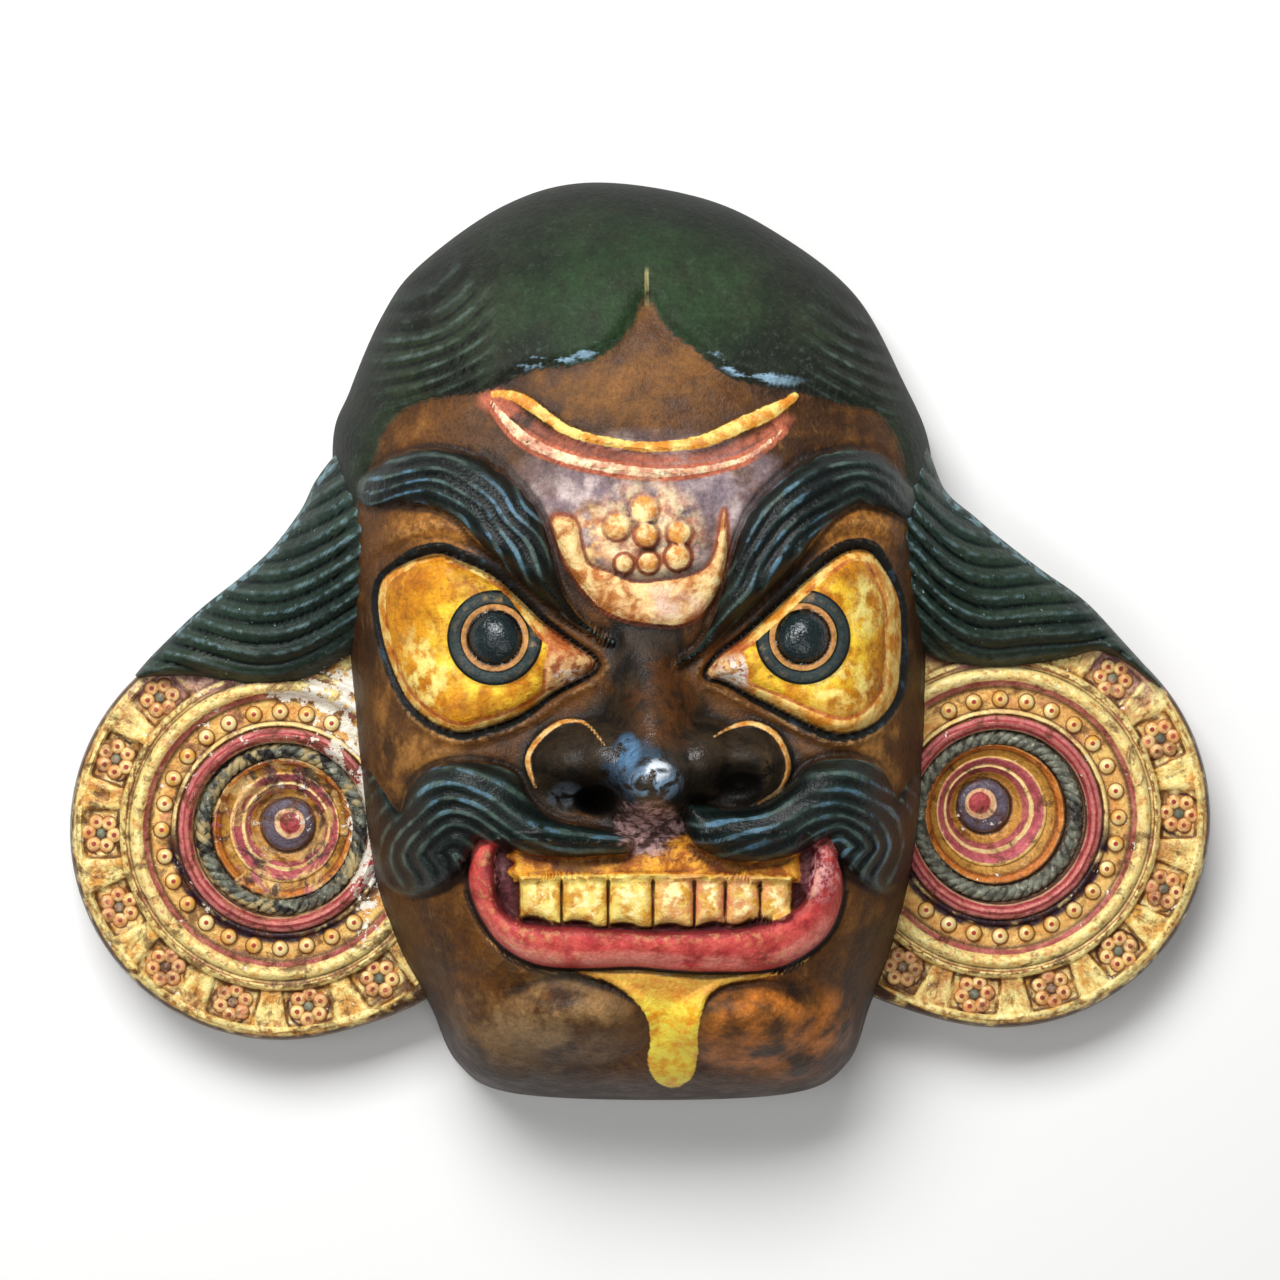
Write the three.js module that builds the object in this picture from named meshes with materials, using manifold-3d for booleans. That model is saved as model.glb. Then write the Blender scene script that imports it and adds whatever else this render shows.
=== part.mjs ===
// Carved and painted dance mask: one hollowed block of wood with the head, the hair and the
// two ear discs in one piece. Millimetres; the face looks up, the crown points to +Y and the
// open back lies on z = 0.
import * as THREE from 'three';
import { mergeVertices } from 'three/addons/utils/BufferGeometryUtils.js';
import Module from 'manifold-3d';

const wasm = await Module();
wasm.setup();
const { Manifold, Mesh } = wasm;

// Driving dimensions.
const faceHeight = 98; // front of the face above the back plane
const edgeHeight = 18; // upright edge round the back of the head
const wall = 14; // thickness of the carved shell
const hollowFloor = 16; // wood left between the hollow and the face
const taperLength = 1100; // the block narrows towards the front by z / taperLength
const earThickness = 34;
const earRadius = 84;
const browRelief = 8;
const browSwell = 5;
const hairRelief = 5;
const eyeBulge = 13;
const socketDepth = 5;
const lidRelief = 3.5;
const lidHalfWidth = 2.6;
const noseHeight = 47;
const noseCentre = 6; // the nose stands a little off the centre line
const moustacheRelief = 11;
const lipRelief = 8;
const teethRelief = 5;
const teethFirst = -50.5; // left edge of the first tooth
const teethLast = 58.5;
const teethCount = 7;
const chinSwell = 9;
const root = 10; // how deep a raised feature reaches into the block
const headSpokes = 48;
const headRings = 17;
const spokesPerPanel = 3; // one on the bar, the rest in the sunk panel

const headCentre = [0, -30];
// Outline of the head, clockwise from the crown.
const headOutline = [
  [-22, 183], [22, 177], [54, 162], [84, 138], [103, 104], [114, 76], [113, 40], [112, -30],
  [108, -84], [99, -122], [90, -146], [81, -169], [60, -181], [4, -184], [-54, -181], [-75, -169],
  [-86, -146], [-99, -122], [-109, -90], [-116, -30], [-120, 16], [-125, 76], [-118, 100],
  [-105, 130], [-90, 150], [-56, 174],
];
const hairline = [
  [-122, 66], [-98, 92], [-50, 104], [-24, 116], [0, 141], [26, 110], [58, 99], [98, 83], [118, 60],
];
const eyeOutline = [
  [99, 14], [94, 28], [84, 35], [66, 31], [46, 15], [22, -9], [41, -27], [68, -39], [84, -34], [95, -14],
];
const browSpine = [[103, 56], [87, 65], [66, 57], [48, 38], [34, 14], [20, -3]];
const browHalfWidth = [7, 12, 13, 11, 8, 3];
const moustacheSpine = [[2, -81], [28, -79], [54, -68], [78, -63], [94, -77], [95, -94]];
const moustacheHalfWidth = [7, 9, 12, 14, 13, 7];
const lipSpine = [
  [-64, -82], [-67, -100], [-54, -117], [-20, -124], [30, -125], [62, -119], [75, -103], [74, -82],
];
const lipHalfWidth = [5, 7, 8, 8, 8, 8, 7, 5];
const gumSpine = [[-54, -91], [4, -91], [62, -91]];
const arcGap = 11; // between the two raised lines over the brow
const arcSpine = [[-62, 97], [-34, 76], [2, 66], [38, 74], [62, 97]];
const crescentSpine = [[-35, 47], [-27, 22], [0, 9], [23, 20], [31, 43]];
const crescentHalfWidth = [2, 6, 8, 6, 2];
const goateeSpine = [[12, -134], [11, -150], [10, -163], [11, -176]];
const goateeHalfWidth = [15, 9, 8, 8];
const nostrilWings = [[-29, -50], [43, -50]];
const nostrilPits = [[-19, -62], [33, -60]];
const pearlPlaces = [[-10, 30], [8, 30], [-14, 44], [-1, 50], [13, 44]];
const lockUpper = [[112, 84], [124, 62], [140, 44], [158, 29], [178, 13], [201, -12]];
const lockLower = [[104, -1], [122, -8], [142, -13], [160, -13], [180, -10], [201, -15]];

// Radial profile of an ear disc from the rim to the button: radius, height above the back.
const earProfile = [
  [84, 29], [80, 33], [64, 33], [60, 35.5], [55, 35.5], [53, 32.5],
  [41, 35], [34, 29], [26, 25], [15, 14], [9, 17],
];
const ears = [
  { side: -1, centre: [-146, -76], buttonShift: [4.6, 3.2] },
  { side: 1, centre: [142, -71], buttonShift: [-9.3, 6.7] },
];
const earPanels = { count: 14, outer: 79, inner: 62, depth: 3 };
const earSpokes = earPanels.count * spokesPerPanel;

// Small helpers.
const clamp01 = (t) => Math.min(1, Math.max(0, t));
const mix = (a, b, t) => a + (b - a) * t;
const ramp = (from, to, v) => {
  const t = clamp01((v - from) / (to - from));
  return t * t * (3 - 2 * t);
};
const hump = (dx, dy) => Math.exp(-dx * dx - dy * dy);
const mirror = (points, side) => points.map(([x, y]) => [x * side, y]);

function pathThrough(points, closed) {
  const corners = points.map(([x, y]) => new THREE.Vector3(x, y, 0));
  return new THREE.CatmullRomCurve3(corners, closed, 'centripetal');
}

// Smooth open curve through the points, as evenly counted steps of position and running share.
function curve(points, steps) {
  const path = pathThrough(points, false);
  return Array.from({ length: steps + 1 }, (_, i) => {
    const t = i / steps;
    const p = path.getPoint(t);
    const dir = path.getTangent(t);
    return { x: p.x, y: p.y, t, side: [dir.y, -dir.x] };
  });
}

function loop(points, steps) {
  const path = pathThrough(points, true);
  return path.getPoints(steps).slice(0, steps).map((p) => [p.x, p.y]);
}

// A value given at evenly spaced stations, read at share t.
function along(values, t) {
  const at = clamp01(t) * (values.length - 1);
  const i = Math.min(values.length - 2, Math.floor(at));
  return mix(values[i], values[i + 1], at - i);
}

function distanceTo(steps, x, y) {
  return Math.min(...steps.map((s) => Math.hypot(s.x - x, s.y - y)));
}

// Radius of a closed outline seen from a centre, at even angles.
function radiusTable(points, centre, count) {
  const fine = loop(points, count * 8).map(([x, y]) => {
    const dx = x - centre[0];
    const dy = y - centre[1];
    return { angle: Math.atan2(dy, dx), radius: Math.hypot(dx, dy) };
  });
  return Array.from({ length: count }, (_, i) => {
    const angle = (i / count) * 2 * Math.PI;
    const gap = (f) => Math.abs(Math.atan2(Math.sin(f.angle - angle), Math.cos(f.angle - angle)));
    return fine.reduce((best, f) => (gap(f) < gap(best) ? f : best)).radius;
  });
}

// Solids.
// Closed solid from a stack of rings; each ring has the same number of points, and the first
// and last rings are closed by fans to their middles.
function ringSolid(rings) {
  const count = rings[0].length;
  const middle = (ring) => [0, 1, 2].map((k) => ring.reduce((sum, p) => sum + p[k], 0) / count);
  const points = [middle(rings[0]), ...rings.flat(), middle(rings[rings.length - 1])];
  const triangles = [];
  const at = (r, i) => 1 + r * count + (i % count);
  for (let i = 0; i < count; i += 1) {
    triangles.push([0, at(0, i), at(0, i + 1)]);
    for (let r = 0; r < rings.length - 1; r += 1) {
      triangles.push([at(r, i), at(r + 1, i), at(r + 1, i + 1)]);
      triangles.push([at(r, i), at(r + 1, i + 1), at(r, i + 1)]);
    }
    triangles.push([points.length - 1, at(rings.length - 1, i + 1), at(rings.length - 1, i)]);
  }
  return toManifold(points.flat(), triangles.flat());
}

function toManifold(positions, indices) {
  const solid = new Manifold(new Mesh({
    numProp: 3,
    vertProperties: new Float32Array(positions),
    triVerts: new Uint32Array(indices),
  }));
  return solid.volume() < 0 ? toManifold(positions, indices.slice().reverse()) : solid;
}

function ellipsoid(centre, radii, segments) {
  const ball = new THREE.SphereGeometry(1, segments, Math.round(segments * 0.6));
  ball.deleteAttribute('normal');
  ball.deleteAttribute('uv');
  ball.scale(...radii).translate(...centre);
  const merged = mergeVertices(ball);
  return toManifold(Array.from(merged.attributes.position.array), Array.from(merged.index.array));
}

// A swelling over a closed outline: height(q) rises from the rim (q = 1) to the middle.
function boss({ outline, centre, steps, shares, height }) {
  const rim = loop(outline, steps);
  const top = shares.map((q) => rim.map(([x, y]) => {
    const px = mix(centre[0], x, q);
    const py = mix(centre[1], y, q);
    return [px, py, ground(px, py) + height(q)];
  }));
  const foot = rim.map(([x, y]) => [x, y, rootUnder(x, y)]);
  return ringSolid([...top, foot]);
}

// A raised band that follows a curve over the ground, round on top.
function band({ spine, halfWidth, relief, steps, facets = 4 }) {
  const rings = curve(spine, steps).map((s) => {
    const half = along(halfWidth, s.t);
    const place = (share, lift) => {
      const x = s.x + s.side[0] * half * share;
      const y = s.y + s.side[1] * half * share;
      return [x, y, ground(x, y) + lift];
    };
    const crest = Array.from({ length: facets + 1 }, (_, k) => {
      const angle = (k / facets) * Math.PI;
      return place(Math.cos(angle), relief * Math.sin(angle));
    });
    const foot = (share) => {
      const [x, y] = place(share, 0);
      return [x, y, rootUnder(x, y)];
    };
    return [...crest, foot(-1), foot(1)];
  });
  return ringSolid(rings);
}

// The head.
const brows = [-1, 1].map((side) => curve(mirror(browSpine, side), 14));
const hairEdge = curve(hairline, 60);

function noseLift(x, y) {
  const down = clamp01((12 - y) / 62); // 0 at the bridge, 1 at the tip
  const length = y > -52 ? mix(6, noseHeight, down ** 1.3) : noseHeight * (1 - ramp(-54, -72, y));
  const half = mix(11, 24, down);
  const across = clamp01(1 - ((x - noseCentre * down) / half) ** 2) ** 0.6;
  return y > 14 ? 0 : Math.max(0, length) * across * ramp(14, 2, y);
}

function hairLift(x, y) {
  const edge = hairEdge.reduce((best, s) => (Math.abs(s.x - x) < Math.abs(best.x - x) ? s : best));
  return hairRelief * ramp(-1, 6, y - edge.y);
}

// Shape of the face without the sharper carving, for a share q of the way out to the outline.
function headHeight(x, y, q) {
  const up = ramp(-0.1, 0.95, (y - headCentre[1]) / Math.hypot(x - headCentre[0] + 1e-6, y - headCentre[1]));
  const round = (1 - Math.min(1, q) ** mix(6.3, 3, up)) ** 0.43;
  const brow = Math.min(...brows.map((steps) => distanceTo(steps, x, y)));
  const mirrored = Math.abs(x);
  const lift = browSwell * hump(brow / 17, 0)
    - socketDepth * hump((mirrored - 64) / 38, y / 26)
    + 6 * hump((mirrored - 84) / 26, (y + 52) / 22)
    + 9 * hump(x / 62, (y + 102) / 34)
    + chinSwell * hump((mirrored - 32) / 26, (y + 158) / 17)
    - 5 * hump(x / 70, (y + 139) / 7)
    + noseLift(x, y) + hairLift(x, y);
  return mix(edgeHeight, faceHeight + lift, round);
}

const headSpans = radiusTable(headOutline, headCentre, headSpokes);

function shareOut(x, y) {
  const dx = x - headCentre[0];
  const dy = y - headCentre[1];
  const turn = (Math.atan2(dy, dx) / (2 * Math.PI) + 1) % 1;
  const at = turn * headSpokes;
  const i = Math.floor(at);
  return Math.hypot(dx, dy) / mix(headSpans[i % headSpokes], headSpans[(i + 1) % headSpokes], at - i);
}

const ground = (x, y) => headHeight(x, y, shareOut(x, y));
const rootUnder = (x, y) => Math.max(ground(x, y) - root, 4);

function headBlock() {
  const shares = Array.from({ length: headRings }, (_, i) => (
    Math.sin(((i + 0.5) / headRings) * (Math.PI / 2)) ** 0.82));
  const ringAt = (q, zOf) => headSpans.map((radius, i) => {
    const angle = (i / headSpokes) * 2 * Math.PI;
    const x = headCentre[0] + radius * q * Math.cos(angle);
    const y = headCentre[1] + radius * q * Math.sin(angle);
    return [x, y, zOf(x, y, q)];
  });
  const top = shares.map((q) => ringAt(q, headHeight));
  return ringSolid([...top, ringAt(1, () => edgeHeight), ringAt(1, () => 0)]);
}

function headHollow() {
  const spokes = 32;
  const spans = radiusTable(headOutline, headCentre, spokes);
  const depth = faceHeight - hollowFloor;
  const ringAt = (q, zOf) => spans.map((radius, i) => {
    const angle = (i / spokes) * 2 * Math.PI;
    const x = headCentre[0] + (radius - wall) * q * Math.cos(angle);
    const y = headCentre[1] + (radius - wall) * q * Math.sin(angle);
    return [x, y, zOf(x, y)];
  });
  const roof = (q) => (x, y) => depth * (1 - q ** 4) ** 0.45
    + 22 * hump((x - noseCentre) / 16, (y + 44) / 20);
  const shares = [0.12, 0.26, 0.45, 0.65, 0.82, 0.93, 0.99];
  return ringSolid([...shares.map((q) => ringAt(q, roof(q))), ringAt(1, () => 12), ringAt(1, () => -1)]);
}

// The carving on the face.
function eye(side) {
  const outline = mirror(eyeOutline, side);
  const ball = boss({
    outline, centre: [64 * side, 0], steps: 18, shares: [0.4, 0.72, 0.92, 1],
    height: (q) => eyeBulge * (1 - q ** 2.4) ** 0.6,
  });
  const lid = band({
    spine: [...outline, ...outline.slice(0, 2)], halfWidth: [lidHalfWidth, lidHalfWidth], relief: lidRelief,
    steps: 20, facets: 2,
  });
  const pupil = ellipsoid([62.5 * side, 1.5, ground(62.5 * side, 1.5) + eyeBulge - 2], [12, 12, 6], 10);
  return [ball, lid, pupil];
}

function teeth() {
  const pitch = (teethLast - teethFirst) / teethCount;
  return Array.from({ length: teethCount }, (_, i) => {
    const x = teethFirst + pitch * (i + 0.5);
    const y = -106 - 1.5 * Math.cos((x / 60) * (Math.PI / 2));
    const half = pitch / 2 - 0.4;
    return boss({
      outline: [
        [x - half, y + 10], [x, y + 11], [x + half, y + 10],
        [x + half, y - 9], [x, y - 11], [x - half, y - 9],
      ],
      centre: [x, y], steps: 6, shares: [0.8, 1], height: (q) => teethRelief * (1 - q ** 4) + 1,
    });
  });
}

function nose() {
  const wings = nostrilWings.map(([x, y]) => ellipsoid([x, y, ground(x, y) + 4], [17, 14, 24], 10));
  const pits = nostrilPits.map(([x, y]) => ellipsoid([x, y, ground(x, y) + 12], [7.5, 6, 14], 8));
  return { wings, pits };
}

function faceCarving() {
  const arc = { spine: arcSpine, halfWidth: [2.2, 2.2], relief: 3, steps: 9, facets: 2 };
  return [
    ...[-1, 1].flatMap((side) => [
      ...eye(side),
      band({ spine: mirror(browSpine, side), halfWidth: browHalfWidth, relief: browRelief, steps: 8 }),
      band({
        spine: mirror(moustacheSpine, side), halfWidth: moustacheHalfWidth, relief: moustacheRelief, steps: 9,
      }),
    ]),
    band({ spine: lipSpine, halfWidth: lipHalfWidth, relief: lipRelief, steps: 16 }),
    band({ spine: gumSpine, halfWidth: [5, 5], relief: teethRelief, steps: 8, facets: 2 }),
    band(arc),
    band({ ...arc, spine: arcSpine.map(([x, y]) => [x * 0.87, y + arcGap]) }),
    band({ spine: crescentSpine, halfWidth: crescentHalfWidth, relief: 5, steps: 10, facets: 3 }),
    band({ spine: goateeSpine, halfWidth: goateeHalfWidth, relief: 5, steps: 6, facets: 3 }),
    ...pearlPlaces.map(([x, y]) => ellipsoid([x, y, ground(x, y)], [7, 7, 6], 6)),
    ...teeth(),
  ];
}

// Hair over the ears.
function lock(side) {
  const across = 13;
  const steps = 8;
  const upper = curve(mirror(lockUpper, side), steps);
  const lower = curve(mirror(lockLower, side), steps);
  const rings = upper.map((u, i) => {
    const t = i / steps;
    const l = lower[i];
    const crest = Array.from({ length: across }, (_, k) => {
      const v = k / (across - 1);
      const swell = mix(34, 7, t ** 0.8) * Math.sin(Math.PI * mix(0.04, 0.96, v)) ** 0.55;
      const groove = mix(2.4, 1, t) * Math.cos(v * 12 * Math.PI);
      return [mix(u.x, l.x, v), mix(u.y, l.y, v), mix(30, earThickness - 5, t) + swell + groove];
    });
    return [...crest, [l.x, l.y, 4], [u.x, u.y, 0]];
  });
  return ringSolid(rings);
}

// Ear discs.
function earDisc({ side, centre, buttonShift }) {
  const spoke = (radius, z) => Array.from({ length: earSpokes }, (_, i) => {
    const angle = (i / earSpokes) * 2 * Math.PI;
    const towardsJaw = hump((Math.cos(angle) * -side - 0.75) / 0.3, (Math.sin(angle) + 0.72) / 0.3);
    const reach = radius > 75 ? radius + 6 * towardsJaw : radius;
    const inward = clamp01(1 - radius / 36);
    return [
      centre[0] + reach * Math.cos(angle) + buttonShift[0] * inward,
      centre[1] + reach * Math.sin(angle) + buttonShift[1] * inward,
      z - (radius < earPanels.outer && radius > earPanels.inner && i % spokesPerPanel ? earPanels.depth : 0),
    ];
  });
  const profile = earProfile.slice().reverse();
  return ringSolid([...profile.map(([radius, z]) => spoke(radius, z)), spoke(earRadius, 0)]);
}

// The whole mask.
function maskSolid() {
  const { wings, pits } = nose();
  const solids = [headBlock(), ...faceCarving(), ...wings, lock(-1), lock(1), ...ears.map(earDisc)];
  const block = Manifold.union(solids);
  return block.subtract(Manifold.union(pits)).subtract(headHollow());
}

function toGeometry(solid) {
  const { vertProperties, triVerts, numProp } = solid.getMesh();
  const positions = new Float32Array((vertProperties.length / numProp) * 3);
  for (let i = 0; i < positions.length / 3; i += 1) {
    const [x, y, z] = vertProperties.subarray(i * numProp, i * numProp + 3);
    const narrow = 1 - z / taperLength;
    positions.set([x * narrow, y * narrow, z], i * 3);
  }
  const geometry = new THREE.BufferGeometry();
  geometry.setAttribute('position', new THREE.BufferAttribute(positions, 3));
  geometry.setIndex(new THREE.BufferAttribute(new Uint32Array(triVerts), 1));
  geometry.computeBoundingBox();
  const { min, max } = geometry.boundingBox;
  geometry.translate(-(min.x + max.x) / 2, -(min.y + max.y) / 2, -min.z);
  geometry.computeVertexNormals();
  return geometry;
}

const mask = new THREE.Mesh(
  toGeometry(maskSolid()),
  new THREE.MeshStandardMaterial({ color: 0x6a4a2c, roughness: 0.5 }),
);
mask.name = 'mask';

const group = new THREE.Group();
group.name = 'tibetan_cham_mask';
group.add(mask);
export default group;
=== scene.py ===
import math

import bmesh
import bpy
import numpy as np
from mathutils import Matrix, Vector


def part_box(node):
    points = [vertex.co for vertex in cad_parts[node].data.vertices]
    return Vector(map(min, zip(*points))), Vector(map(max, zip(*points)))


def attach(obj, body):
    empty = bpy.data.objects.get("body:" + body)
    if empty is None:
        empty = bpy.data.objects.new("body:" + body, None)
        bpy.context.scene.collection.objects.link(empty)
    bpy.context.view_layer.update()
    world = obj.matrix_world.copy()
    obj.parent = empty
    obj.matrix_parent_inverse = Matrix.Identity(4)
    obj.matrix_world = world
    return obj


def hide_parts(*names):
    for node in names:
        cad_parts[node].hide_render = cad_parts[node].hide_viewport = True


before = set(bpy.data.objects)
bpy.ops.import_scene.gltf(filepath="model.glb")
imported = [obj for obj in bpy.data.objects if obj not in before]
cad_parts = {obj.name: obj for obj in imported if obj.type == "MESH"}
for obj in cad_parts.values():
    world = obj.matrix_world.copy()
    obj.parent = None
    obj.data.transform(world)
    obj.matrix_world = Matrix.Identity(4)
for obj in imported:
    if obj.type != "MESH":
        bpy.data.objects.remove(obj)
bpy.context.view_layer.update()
maskLow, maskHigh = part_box("mask")
print("stage: frame loaded")

# The carving is worked out in plan millimetres: x across the face, y towards the crown, z out of
# the face above the flat back. The block narrows to the front by z / taper when it is finished.
block = {
    "face": 98.0, "edge": 18.0, "taper": 1100.0, "centre": (0.0, -30.0), "tall": 185.0, "broad": 118.0,
}


def clip01(value):
    return np.clip(value, 0.0, 1.0)


def mix(a, b, share):
    return a + (b - a) * share


def ramp(start, end, value):
    t = clip01((value - start) / (end - start))
    return t * t * (3 - 2 * t)


def hump(dx, dy=0.0):
    return np.exp(-dx * dx - dy * dy)


def pillow(depth, reach, soft=1.1):
    # 0 outside an outline, rising like a quarter round to 1 at the given reach inside it
    share = clip01((depth + soft) / (reach + soft))
    return np.sqrt(1 - (1 - share) ** 2) * ramp(0, 2.4 * soft / (reach + soft), share)


def merged(heights, softness):
    # the highest of several swellings, with soft valleys between them
    total = np.log(np.sum([np.exp(h / softness) for h in heights], axis=0) / len(heights))
    return np.maximum(softness * total, 0)


def smoothPath(points, count, closed=False):
    p = np.array(points, float)
    n = len(p)
    spans = n if closed else n - 1
    t = np.linspace(0, spans, count, endpoint=not closed)
    i = np.minimum(t.astype(int), spans - 1)
    f = (t - i)[:, None]
    a, b, c, d = [p[(i + k) % n] if closed else p[np.clip(i + k, 0, n - 1)] for k in (-1, 0, 1, 2)]
    return 0.5 * (2 * b + (c - a) * f + (2 * a - 5 * b + 4 * c - d) * f**2
                  + (3 * b - a - 3 * c + d) * f**3)


def stepTo(x, y, a, b):
    # squared distance to the piece of line a-b, how far along it, and the side
    dx, dy = b[0] - a[0], b[1] - a[1]
    t = clip01(((x - a[0]) * dx + (y - a[1]) * dy) / max(dx * dx + dy * dy, 1e-9))
    ex, ey = x - a[0] - t * dx, y - a[1] - t * dy
    return ex * ex + ey * ey, t, dx * ey - dy * ex


def depthInside(x, y, outline, margin=32.0):
    # millimetres inside a closed outline, negative outside it
    outline = np.asarray(outline, float)[:, :2]
    depth = np.full(x.shape, -margin)
    low, high = outline.min(0) - margin, outline.max(0) + margin
    near = (x > low[0]) & (x < high[0]) & (y > low[1]) & (y < high[1])
    px, py = x[near], y[near]
    best = np.full(px.shape, margin * margin)
    inside = np.zeros(px.shape, bool)
    for a, b in zip(outline, np.roll(outline, -1, 0)):
        best = np.minimum(best, stepTo(px, py, a, b)[0])
        level = (b[1] - a[1]) or 1e-9
        inside ^= ((a[1] > py) != (b[1] > py)) & (px < a[0] + (py - a[1]) * (b[0] - a[0]) / level)
    depth[near] = np.where(inside, 1, -1) * np.sqrt(best)
    return depth


def followLine(x, y, path, margin=40.0):
    # distance to an open line, share of its length, and signed distance across it
    path = np.asarray(path, float)[:, :2]
    distance = np.full(x.shape, margin)
    share, across = np.zeros(x.shape), np.full(x.shape, margin)
    low, high = path.min(0) - margin, path.max(0) + margin
    near = (x > low[0]) & (x < high[0]) & (y > low[1]) & (y < high[1])
    px, py = x[near], y[near]
    best, along, side = np.full(px.shape, 1e9), np.zeros(px.shape), np.ones(px.shape)
    lengths = np.hypot(*np.diff(path, axis=0).T)
    run = np.concatenate([[0], np.cumsum(lengths)]) / lengths.sum()
    for k in range(len(path) - 1):
        square, t, turn = stepTo(px, py, path[k], path[k + 1])
        closer = square < best
        best = np.where(closer, square, best)
        along = np.where(closer, mix(run[k], run[k + 1], t), along)
        side = np.where(closer, np.sign(turn), side)
    distance[near], share[near], across[near] = np.sqrt(best), along, np.sqrt(best) * side
    return distance, share, across


def lineWidth(x, y, points, count=40):
    # depth inside a line whose half width is the third number of each of its points
    path = smoothPath(points, count)
    distance, share, across = followLine(x, y, path)
    half = np.interp(share, np.linspace(0, 1, count), path[:, 2])
    return half - distance, share, across


def wander(x, y, size, seed=0.0):
    # slow hand-made unevenness, about -1 to 1
    u, v = x / size, y / size
    across = np.sin(1.7 * u + 2.3 * np.sin(0.9 * v + seed) + seed)
    along = np.sin(2.1 * v - 1.9 * np.sin(0.7 * u - seed))
    return 0.5 * (across + along)


# outlines of the carving, as points of smooth curves; a third number is half the width of a line
headOutline = [
    (-22, 183), (22, 177), (54, 162), (84, 138), (103, 104), (114, 76), (113, 40), (112, -30), (108, -84),
    (99, -122), (90, -146), (81, -169), (60, -181), (4, -184), (-54, -181), (-75, -169), (-86, -146),
    (-99, -122), (-109, -90), (-116, -30), (-120, 16), (-125, 76), (-118, 100), (-105, 130), (-90, 150),
    (-56, 174),
]
hairline = [
    (-118, -8), (-117.5, 20), (-116, 48), (-110, 69), (-104, 84), (-95, 93), (-82, 97), (-63, 100),
    (-44, 108), (-27, 110), (-14, 116), (-5, 126), (0.5, 137), (8, 125), (20, 116), (32, 106), (44, 102),
    (62, 99), (80, 94), (92, 91), (99, 83), (103, 72), (105, 56), (109, 36), (111, 16), (111.5, -6),
]
hairOutline = np.vstack([smoothPath(hairline, 110), [(150, -6), (150, 200), (-150, 200), (-150, -8)]])
eyeLeft = smoothPath([
    (-106.5, 20), (-101, 28), (-85, 34.5), (-74, 31.7), (-61, 25.6), (-50, 16), (-41, 7.4), (-31, 0),
    (-19.2, -10.4), (-35, -20), (-48, -29), (-61, -34.3), (-74, -37), (-85, -33), (-95, -24), (-102, -9),
    (-106, 6)], 96, True)
eyeRight = smoothPath([
    (24.3, -14), (29, -6.5), (39, 1), (52, 12.4), (62, 21.7), (72, 30), (80, 35.2), (88, 36), (93, 31.8),
    (98, 24), (101.5, 15), (102.4, 2), (102, -9), (100.5, -21), (96, -29), (89.5, -34.7), (80, -37.6),
    (72, -36.4), (62, -32.2), (52, -27), (41.6, -22), (32.3, -17)], 96, True)
eyeCentres = [(-68, 0), (69, -1)]
irises = [(-60.3, 0.9), (63.0, 1.2)]
browLeft = [
    (-109, 60, 7), (-96, 64.5, 10.5), (-82, 64.5, 12), (-68, 58.5, 13), (-54, 44.5, 13), (-45, 30, 9.5),
    (-36, 16, 4.5), (-24, 5, 1.6), (-13, -1, 0.8)]
browRight = [(105, 54, 6), (94, 62, 10), (84, 65.5, 12), (70, 60, 13), (55, 46, 13.5), (44, 28, 10.5),
             (33, 10.5, 6), (23, -3, 2.2), (12, -10, 0.8)]
tacheLeft = [
    (-7, -78), (-34, -72.6), (-45.5, -65), (-51, -55), (-57, -51), (-68, -49), (-80, -49.6), (-89, -53.4),
    (-95, -60), (-98.5, -69), (-105, -60), (-111, -51.5), (-114.5, -55), (-114.5, -66), (-113, -79),
    (-108, -93), (-102, -99.5), (-95, -102), (-88, -101), (-79, -97), (-73, -91), (-69, -84), (-66, -79.8),
    (-57, -82.5), (-45, -85.6), (-30, -87), (-15, -86), (-7, -85)]
tacheRight = [
    (17, -66), (34, -68), (47.7, -65.7), (58, -58), (65, -50.4), (74.5, -47.7), (86, -48), (93.7, -51),
    (98, -57), (101, -64), (104.5, -58), (108.5, -53), (113, -58), (113, -69), (110.5, -82), (105, -93),
    (99, -100), (93.7, -100.5), (86, -96), (79, -88.6), (74.5, -81), (72, -79), (64, -84), (52, -88),
    (36, -88.6), (27.8, -86.5), (18, -80)]
tacheSpineLeft = [
    (4, -79), (-22, -80), (-46, -73), (-66, -63), (-84, -62), (-98, -72), (-103, -86), (-98, -97)]
tacheSpineRight = [(4, -73), (22, -78), (46, -76), (66, -64), (82, -61), (96, -71), (102, -84), (97, -96)]
lipOuter = smoothPath([
    (-65.6, -79), (-70.5, -89), (-70.5, -100), (-65.6, -112), (-57, -123), (-43.6, -130), (-27, -131.6),
    (-5, -131), (11, -132.3), (28, -133), (50, -132), (64, -126), (74, -116.6), (79, -103), (78, -90),
    (72, -77), (40, -80), (0, -80), (-40, -80)], 96, True)
lipInner = smoothPath([
    (-58, -80), (-60.5, -95), (-58, -107), (-49, -113), (-33, -114.4), (-16, -115.5), (6, -116.6),
    (28, -116), (44, -114.4), (58, -109), (65, -101), (66, -80), (44, -66), (0, -62), (-40, -66)], 84, True)
toothEdges = [-50.5, -33.5, -14.9, 3.0, 19.5, 31.9, 45.8, 58.5]
arcUpper = [(-61, 98.6, 1.4), (-51, 97, 2.4), (-39, 89, 2.2), (-31, 83.6, 2), (-19, 80, 1.9), (-2, 77.4, 2),
            (12, 77.8, 2.2), (25, 80, 2.7), (38, 86, 3), (50, 91.2, 3), (60, 97.5, 1.6)]
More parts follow.
